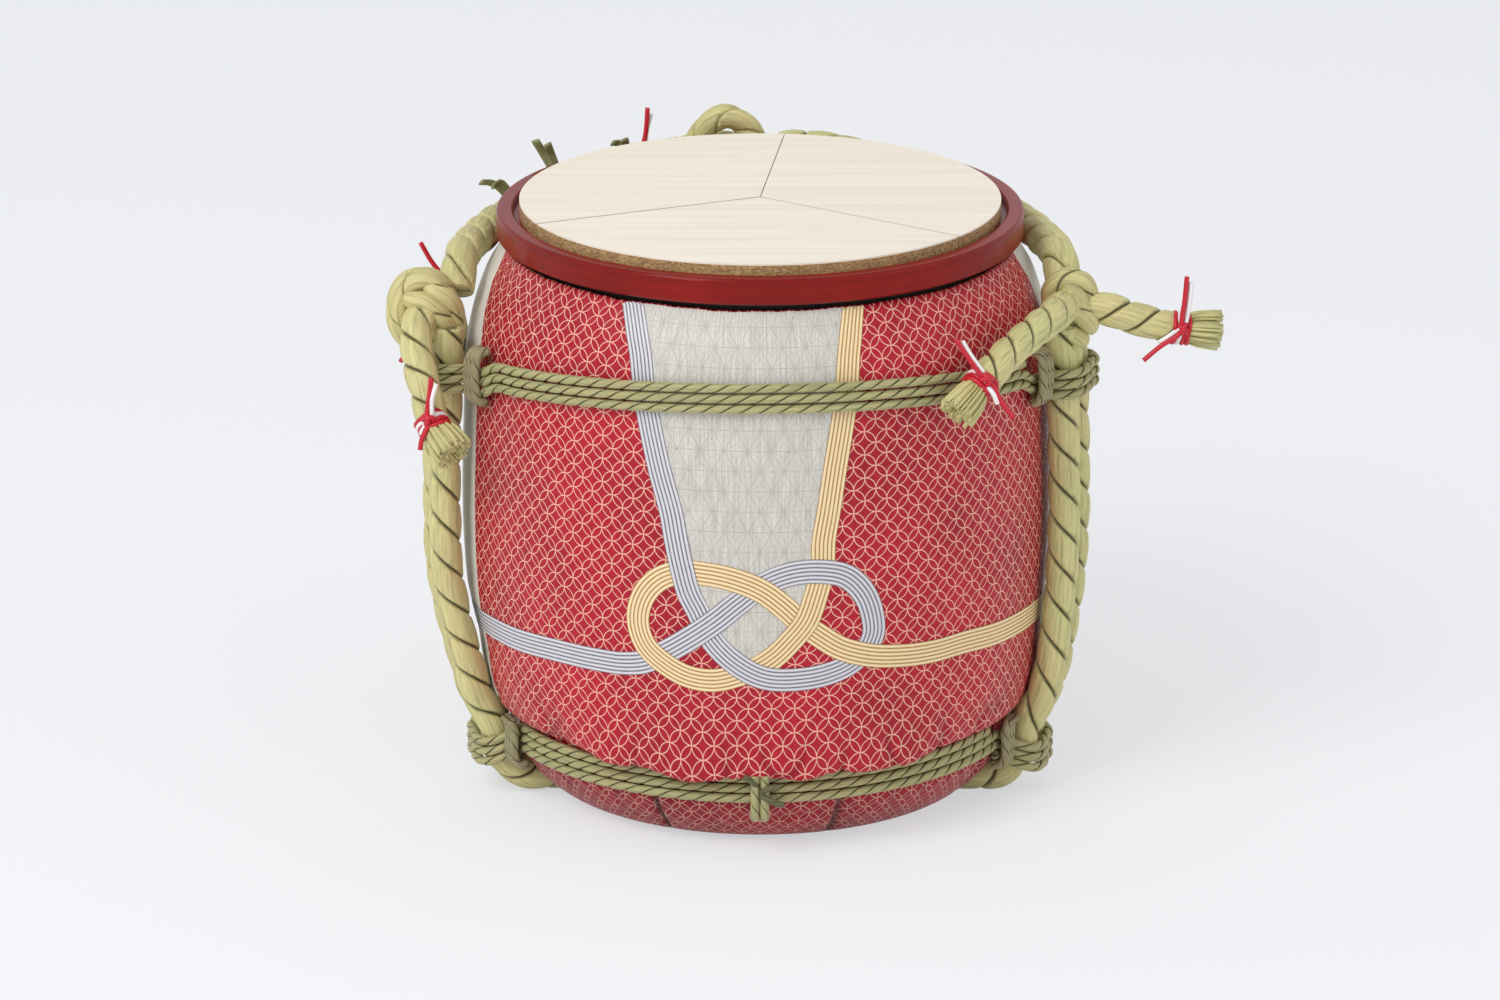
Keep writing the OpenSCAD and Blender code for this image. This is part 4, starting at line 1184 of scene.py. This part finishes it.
class BARREL_OT_print(bpy.types.Operator):
    """Lays the white panel and the silver and gold cord bands of the print on the mat"""
    bl_idname = "barrel.lay_print"
    bl_label = "Printed panel and bands"

    def execute(self, context):
        scene = context.scene
        colours, sizes = scene.barrel_colours, scene.barrel_print

        def spread(s, t, lift):
            turn = s / PRINT_R - math.pi / 2
            return on_mat(turn, min(t, top_t(turn)), lift)[0]

        band = sizes.band * 1000
        edges = []
        for name, points, pale, line in (("silver", SILVER, colours.silver, "#5F6270"),
                                         ("gold", GOLD, colours.gold, "#A8783A")):
            way = Way([(s, t, layer * LAYER) for s, t, layer in points], 1.5)
            # Down to where the bands meet, the panel ends under their middles
            edge = []
            for p in way.points[:PANEL_POINTS]:
                if not edge or p.y < edge[-1][0] - 0.01:
                    edge.append((p.y, p.x))
            edges.append(edge[::-1])

            def place(u, v, way=way):
                i = round(v * way.rows)
                p, t = way.points[i], way.tangent[i]
                flat = Vector((-t.y, t.x)).normalized()
                # A band's edges lie a hair lower than its middle, so that no gap shows
                off = (0.5 - u) * band
                lift = BAND_LIFT + p.z - (0.05 if u in (0.0, 1.0) else 0)
                return spread(p.x + flat.x * off, p.y + flat.y * off, lift), (0, 0, 0), 0.0

            bm = new_mesh()
            bend_grid(bm, 12, way.rows, place, lambda u, v, way=way: (u, v * way.length))
            finish_piece("print_band_" + name, bm, [printed_band(
                "Printed %s paper cord" % name, pale, line, STRIPES)], [])

        top = min(edge[-1][0] for edge in edges)

        def across(u, v):
            """A point of the panel, as lengths round the mat and along it"""
            t = PANEL_FOOT + (top - PANEL_FOOT) * v
            a, b = sorted(look_up(t, edge) for edge in edges)
            return a + (b - a) * u, t

        bm = new_mesh()
        bend_grid(bm, 60, 96, lambda u, v: (spread(*across(u, v), PANEL_LIFT), (0, 0, 0), 0.0),
                  across)
        finish_piece("print_white_panel", bm, [white_panel(colours, sizes)], [])
        return {"FINISHED"}


class BARREL_OT_ropes(bpy.types.Operator):
    """Lays the three thick ropes, each down one side, under the base and up the next, and the
    two halves of the rope round the shoulder"""
    bl_idname = "barrel.lay_ropes"
    bl_label = "Thick ropes"

    def execute(self, context):
        scene = context.scene
        straw = dried_straw("Laid rice straw", scene.barrel_colours.straw, ROPE_R)
        laid = [(name, name, rope_way(name), ROPE_R, seed) for seed, name in enumerate(ROPE_WAYS)]
        laid += [("shoulder_rope_" + name, "shoulder_" + name, shoulder_way(side), SHOULDER_R,
                  10 + side) for side, name in ((1, "right"), (-1, "left"))]
        for node, name, points, radius, seed in laid:
            bm = new_mesh()
            laid_rope(bm, Way(points, 1.25), radius, scene.barrel_straw.rope_pitch * 1000,
                      seed=seed)
            finish_piece(name + "_straw", bm, [straw], [node])
        return {"FINISHED"}


class BARREL_OT_knots(bpy.types.Operator):
    """Ties the three knots at the tops of the pairs: bands of rope over a core"""
    bl_idname = "barrel.tie_knots"
    bl_label = "Knots"

    def execute(self, context):
        straw = dried_straw("Knotted rice straw", context.scene.barrel_colours.straw, 4.3,
                            across=0.9, depth=0.6)
        for seed, leg in enumerate(LEGS):
            bm = new_mesh()
            home = knot_seen(leg)
            for k, (thick, points) in enumerate(KNOT_BANDS[leg]):
                way = Way([home + Vector((x, -y, z)) for x, z, y in points], 0.9)

                def size(along, total=way.length):
                    """A band is thinner over its first and last 6 mm, where it goes in"""
                    return 0.84 + 0.16 * step01(0, 6, min(along, total - along))

                laid_rope(bm, way, thick, 27 + 3 * k, 26, size, 40 * k + 9 * seed, crease=0.17)
            # The core fills what shows between the bands
            for low, high, thick in KNOT_CORES[leg]:
                low, high = home + Vector(low), home + Vector(high)
                core = Way([low, (low + high) / 2, high], 1.2)

                def size(along, total=core.length):
                    """A core is round at both ends"""
                    return math.sqrt(max(0.02, 1 - (2 * along / total - 1) ** 4))

                strand(bm, core, plump(0, thick, thick, 2), 20, None, size)
            finish_piece("knot_%s_straw" % leg, bm, [straw], ["knot_" + leg])
        return {"FINISHED"}


class BARREL_OT_tails(bpy.types.Operator):
    """Lays the six tails, each drawn in by its tie and opening into a cut brush of straw"""
    bl_idname = "barrel.lay_tails"
    bl_label = "Rope tails"

    def execute(self, context):
        scene = context.scene
        straw = dried_straw("Laid rice straw tail", scene.barrel_colours.straw, TAIL_R)
        loose = dried_straw("Cut rice straw", shade(scene.barrel_colours.straw, 0.98)[:3], 0.3,
                            across=0.5, depth=0.3)
        reach = scene.barrel_straw.brush * 1000
        for seed, key in enumerate(TAIL_WAYS):
            points = tail_points(key)
            home = knot_seen(key[0])
            way = Way([home + 3 * (points[0] - home).normalized()] + points[:5]
                      + [points[4].lerp(points[5], 0.35)], 1.1)

            def size(along, total=way.length):
                """The tie draws a tail in over its last 12 mm"""
                return 1.03 - 0.27 * (1 - step01(0, 12, total - along))

            bm = new_mesh()
            laid_rope(bm, way, TAIL_R, scene.barrel_straw.tail_pitch * 1000, size=size,
                      seed=20 + seed)
            # The brush: a solid heart with cut straws spread round it
            rough = random.Random(90 + seed)
            out = (points[5] - points[4]).normalized()
            side = out.cross(Vector((0, 0, 1))).normalized()
            up = side.cross(out)
            start = points[4] - out * 1.0
            first = len(bm.faces)
            heart = Way([start, start + out * reach * 0.5, start + out * (reach - 2)], 2)
            strand(bm, heart, plump(0, HEART_R, HEART_R, 2), 16, None,
                   lambda along: 0.95 + 0.35 * along / reach)
            for _ in range(STRAWS):
                a = rough.uniform(0, 2 * math.pi)
                d = math.sqrt(rough.uniform(0.12, 1))
                away = side * math.cos(a) + up * math.sin(a)
                foot = start + away * BRUSH_FOOT * d
                far = BRUSH_TIP * d + rough.uniform(-0.5, 0.5)
                tip = start + away * far + out * (reach + rough.uniform(-1.6, 0.9))
                bend = foot.lerp(tip, 0.5) + away * 0.9 * d
                stalk = plump(0, rough.uniform(0.5, 0.85), rough.uniform(0.3, 0.5), 2)
                strand(bm, Way([foot, bend, tip], reach / 4), stalk, 6, lambda along, a=a: a,
                       None, rough.uniform(0, 90))
            paint_new(bm, first, 1)
            finish_piece("tail_%s_%s_straw" % key, bm, [straw, loose], ["tail_%s_%s" % key])
        return {"FINISHED"}


class BARREL_OT_ties(bpy.types.Operator):
    """Ties a red and a white paper cord round the neck of each tail"""
    bl_idname = "barrel.tie_paper_cords"
    bl_label = "Paper cord ties"

    def execute(self, context):
        finishes = [paper_cord("Red paper cord", "#C4122B"),
                    paper_cord("White paper cord", "#F2F0EC")]
        round_cord = plump(0, PAPER_R, PAPER_R, 2)
        for seed, key in enumerate(TAIL_WAYS):
            rough = random.Random(40 + seed)
            points = tail_points(key)
            middle = points[4]
            out = (points[5] - points[3]).normalized()
            towards = Vector((0, -1, 0.25))
            towards = (towards - towards.dot(out) * out).normalized()
            across = out.cross(towards)
            neck = 0.8 * TAIL_R + 0.7
            bm = new_mesh()
            # Four turns round the neck, the second of them white
            for n in range(4):
                ring = [middle + out * ((n - 1.5) * 1.7 + 0.25 * math.sin(a * 3 + n))
                        + (towards * math.cos(a) + across * math.sin(a)) * neck
                        for a in [2 * math.pi * j / 20 for j in range(20)]]
                first = len(bm.faces)
                strand(bm, Way(ring, 0.9, closed=True), round_cord, 10)
                paint_new(bm, first, int(n == 1))
            # Two ends, each of a red and a white cord side by side
            bead = middle + towards * (neck + 0.9)
            for n, (right, high) in enumerate(TIE_ENDS[key]):
                to = Vector((right, -2.0 if n else 1.5, high))
                along = to.normalized()
                beside_it = along.cross(towards).normalized()
                for m in (0, 1):
                    off = beside_it * (PAPER_R if m else -PAPER_R)
                    lower = towards * (-0.5 if m else 0.3)
                    tip = bead + to * (1.0 if not m else 0.9 - 0.35 * n) + off * 1.1 + lower
                    bow = Vector((rough.uniform(-1, 1), rough.uniform(-0.6, 0.6),
                                  rough.uniform(-1, 1)))
                    first = len(bm.faces)
                    strand(bm, Way([bead - along * 1.5, bead + off * 0.8 + along * 2.2 + lower,
                                    bead.lerp(tip, 0.6) + bow * 0.8, tip], 0.9), round_cord, 10)
                    paint_new(bm, first, m)
            # The knot itself: two small turns over the ends
            for tilt in (-0.6, 0.7):
                tilt = Matrix.Rotation(tilt, 3, towards)
                ring = [bead + tilt @ across * math.cos(a) * 2.0 + towards * math.sin(a) * 1.5
                        + tilt @ out * 0.5 * math.sin(2 * a)
                        for a in [2 * math.pi * j / 12 for j in range(12)]]
                strand(bm, Way(ring, 0.7, closed=True), round_cord, 10)
            finish_piece("tie_%s_%s_cord" % key, bm, finishes, ["tie_%s_%s" % key])
        return {"FINISHED"}


class BARREL_OT_windings(bpy.types.Operator):
    """Winds the thin cord three times round the mat and over the pairs, low and high, and
    lashes it beside each pair"""
    bl_idname = "barrel.wind_cords"
    bl_label = "Thin cord windings"

    def execute(self, context):
        scene = context.scene
        pitch = scene.barrel_straw.cord_pitch * 1000
        cord = dried_straw("Thin straw cord", scene.barrel_colours.cord, CORD_R, across=0.45,
                           dull=0.6)
        lashing = dried_straw("Old straw lashing", scene.barrel_colours.lashing, CORD_R,
                              across=0.5, dull=0.6)

        def lash(bm, ways, seed):
            for k, points in enumerate(ways):
                laid_rope(bm, Way(points, 1.0), CORD_R, pitch * 0.8, around=12, seed=seed + k)

        for lower, name in ((True, "waist_"), (False, "sash_")):
            bm = new_mesh()
            laid_rope(bm, Way(winding_way(lower), 1.2), CORD_R, pitch, around=12,
                      seed=50 + lower, crease=0.34)
            finish_piece(name + "winding_cord", bm, [cord], [name + "winding"])
            for leg in LEGS:
                bm = new_mesh()
                lash(bm, hitch_ways(leg, lower), 60)
                node = name + "hitch_" + leg
                finish_piece(node + "_cord", bm, [lashing], [node])
        # The two turns that hold the lower winding's ends, and the ends themselves
        bm = new_mesh()
        lash(bm, hitch_turns([-91, -89], WAIST_Z), 70)
        out = mat_r(WAIST_Z) + 4.6 * CORD_R
        for k, way in enumerate(FRONT_ENDS):
            points = [polar(az, out + r, WAIST_Z + 1.3 + up) for az, r, up in way]
            laid_rope(bm, Way(points, 0.8), CORD_R * 0.72, pitch * 0.7, around=12, seed=80 + k)
        finish_piece("waist_hitch_front_cord", bm, [cord], ["waist_hitch_front"])
        # The ends that stand up at the back left are split in two ribbons that part upwards
        split = dried_straw("Split straw cord", to_linear("#8F9068"), 0.3, across=0.5)
        for seed, (node, route) in enumerate(CORD_ENDS.items()):
            bm = new_mesh()
            for k, part in enumerate((-1, 1)):
                ribbon = [polar(az, r, STAVE_TOP + up) + Vector((part * far + right, 0, down))
                          for (az, r, up), (far, right, down) in zip(route, PARTING)]
                ribbon[3].z -= 1.5 * ((seed + k) % 2)
                strand(bm, Way(ribbon, 0.8), plump(0, 1.75, 0.6, 2.5), 14,
                       lambda along, part=part: 0.25 * part, None, 30 * k + 11 * seed)
            finish_piece(node + "_straw", bm, [split], [node])
        return {"FINISHED"}


class BARREL_OT_packing(bpy.types.Operator):
    """Packs loose straw between the tub and the mat"""
    bl_idname = "barrel.pack_straw"
    bl_label = "Straw packing"

    def execute(self, context):
        outline = [(tub_r(FLOOR_Z) + 4.5, FLOOR_Z + 0.3), (TUB_FOOT + 6, FLOOR_Z + 0.3)]
        outline += [(p.x - 3.8, p.y) for p in MAT_OUT if FLOOR_Z + 4 < p.y < PACKED_TO - 1][::4]
        outline += [(tub_r(PACKED_TO) + 4.8, PACKED_TO)]
        bm = new_mesh()
        verts = [bm.verts.new((r, 0, z)) for r, z in outline]
        edges = [bm.edges.new((a, b)) for a, b in zip(verts, verts[1:] + verts[:1])]
        bmesh.ops.spin(bm, geom=verts + edges, cent=(0, 0, 0), axis=(0, 0, 1),
                       angle=2 * math.pi, steps=96, use_merge=True)
        lay = bm.verts.layers.float_vector["lay"]
        proud = bm.verts.layers.float["proud"]
        for v in bm.verts:
            out = math.hypot(v.co.x, v.co.y)
            v[lay] = (out, math.atan2(v.co.y, v.co.x) * 40, v.co.z)
            v[proud] = 1.0
            # The outer face is pressed in by up to a hundredth
            if out > tub_r(v.co.z) + 8:
                pressed = 1 - 0.006 * (noise.noise(Vector(v.co) / 7) + 0.6)
                v.co.x *= pressed
                v.co.y *= pressed
        straw = dried_straw("Loose straw packing", to_linear("#C9BE7E"), 0.5, depth=0.9)
        finish_piece("straw_packing_loose", bm, [straw], ["straw_packing"])
        return {"FINISHED"}


class BARREL_OT_wood(bpy.types.Operator):
    """Gives the tub, hoops, rim and lid their wood, bamboo and lacquer"""
    bl_idname = "barrel.finish_wood"
    bl_label = "Wood, bamboo and lacquer"

    def execute(self, context):
        # The last axis is that of the grain: 1 is across the tub and 2 up it
        finishes = [
            # The staves' outer faces in the gap under the rim are painted near black, as shade
            ("stave_", sawn_wood("Planed cedar stave", "#DDBF8E", "#B98F5C", 2,
                                 outside="#1C120B")),
            ("bottom_board_", sawn_wood("Planed cedar board", "#D6B582", "#AE8450", 1)),
            ("hoop_", sawn_wood("Split bamboo", "#C7B364", "#93803A", 2, rings=500)),
            ("rim_ring", red_lacquer(context.scene.barrel_colours)),
            ("lid_core_", pressed_core()),
            ("lid_veneer_", sliced_veneer()),
        ]
        for start, material in finishes:
            found = [o for n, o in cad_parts.items() if n.startswith(start)]
            if not found:
                raise RuntimeError("no node starts with " + start)
            for node in found:
                node.data.materials.clear()
                node.data.materials.append(material)
        return {"FINISHED"}


def looked_at(tree):
    """1 on rays that show the background itself, to the camera, in a gloss or through glass"""
    rays = add(tree, "LightPath")
    seen = rays["Is Camera Ray"]
    for ray in ("Is Glossy Ray", "Is Transmission Ray"):
        seen = add(tree, "Math", {0: seen, 1: rays[ray]}, operation="MAXIMUM")[0]
    return seen


class BARREL_OT_stage(bpy.types.Operator):
    """Sets the floor, the light and the camera"""
    bl_idname = "barrel.set_stage"
    bl_label = "Stage"

    def execute(self, context):
        scene = context.scene
        stage = scene.barrel_stage

        def placed(name, data):
            item = bpy.data.objects.new(name, data)
            scene.collection.objects.link(item)
            return item

        bm = bmesh.new()
        bmesh.ops.create_grid(bm, x_segments=1, y_segments=1, size=FLOOR_HALF)
        mesh = bpy.data.meshes.new("floor")
        bm.to_mesh(mesh)
        bm.free()
        placed("floor", mesh)
        material, tree, shader = surface("Matt paper", Roughness=0.9)
        shader.inputs["Base Color"].default_value = shade(stage.floor, 1.14)
        # Where it is looked at, it is partly its plain colour, so that it stays pale, and for
        # the rest it takes the object's shadow
        plain = add(tree, "Emission", {"Color": shade(stage.floor, 1.03), "Strength": 1.0})[0]
        share = add(tree, "Math", {0: looked_at(tree), 1: PLAIN_SHARE}, operation="MULTIPLY")[0]
        both = add(tree, "MixShader", {0: share, 1: shader.outputs[0], 2: plain})[0]
        tree.links.new(both, tree.nodes["Material Output"].inputs["Surface"])
        mesh.materials.append(material)

        world = bpy.data.worlds.new("Even light")
        scene.world = world
        world.use_nodes = True
        tree = world.node_tree
        even = tree.nodes["Background"]
        even.inputs["Color"].default_value = (1, 1, 1, 1)
        even.inputs["Strength"].default_value = stage.sky
        seen = add(tree, "Background", {"Color": shade(stage.floor), "Strength": 1.0})[0]
        both = add(tree, "MixShader", {0: looked_at(tree), 1: even.outputs[0], 2: seen})[0]
        tree.links.new(both, tree.nodes["World Output"].inputs["Surface"])

        target = Vector(LIT_POINT)
        for name, place, size, share in LAMPS:
            place = Vector(place)
            lamp = bpy.data.lights.new(name, "AREA")
            lamp.size = size
            lamp.energy = stage.key * share * (place - target).length_squared
            holder = placed(name, lamp)
            holder.location = place
            holder.rotation_euler = (target - place).to_track_quat("-Z", "Y").to_euler()

        lens = bpy.data.cameras.new("Camera")
        lens.lens = CAMERA_LENS
        lens.clip_end = 50
        camera = placed("Camera", lens)
        camera.location = CAMERA_AT
        camera.rotation_euler = [math.radians(a) for a in CAMERA_TURN]
        scene.camera = camera
        scene.view_settings.view_transform = "Standard"
        return {"FINISHED"}


OPERATORS = [BARREL_OT_packing, BARREL_OT_mat, BARREL_OT_print, BARREL_OT_ropes, BARREL_OT_knots,
             BARREL_OT_tails, BARREL_OT_ties, BARREL_OT_windings, BARREL_OT_wood, BARREL_OT_stage]


class BARREL_PT_panel(bpy.types.Panel):
    """Lists the barrel's sizes, colours and pieces"""
    bl_label = "Sake barrel"
    bl_space_type = "VIEW_3D"
    bl_region_type = "UI"
    bl_category = "Barrel"

    def draw(self, context):
        scene = context.scene
        for group in (scene.barrel_straw, scene.barrel_print, scene.barrel_colours,
                      scene.barrel_stage):
            box = self.layout.box()
            for name in group.__annotations__:
                box.prop(group, name)
        for operator in OPERATORS:
            self.layout.operator(operator.bl_idname)


GROUPS = {"barrel_straw": StrawSizes, "barrel_print": PrintSizes,
          "barrel_colours": BarrelColours, "barrel_stage": StageSettings}


def register():
    for cls in [*GROUPS.values(), *OPERATORS, BARREL_PT_panel]:
        bpy.utils.register_class(cls)
    for name, group in GROUPS.items():
        setattr(bpy.types.Scene, name, bpy.props.PointerProperty(type=group))


def unregister():
    for name in GROUPS:
        delattr(bpy.types.Scene, name)
    for cls in [BARREL_PT_panel, *OPERATORS[::-1], *list(GROUPS.values())[::-1]]:
        bpy.utils.unregister_class(cls)


def main():
    register()
    for operator in OPERATORS:
        area, name = operator.bl_idname.split(".")
        getattr(getattr(bpy.ops, area), name)()


if __name__ == "__main__":
    main()
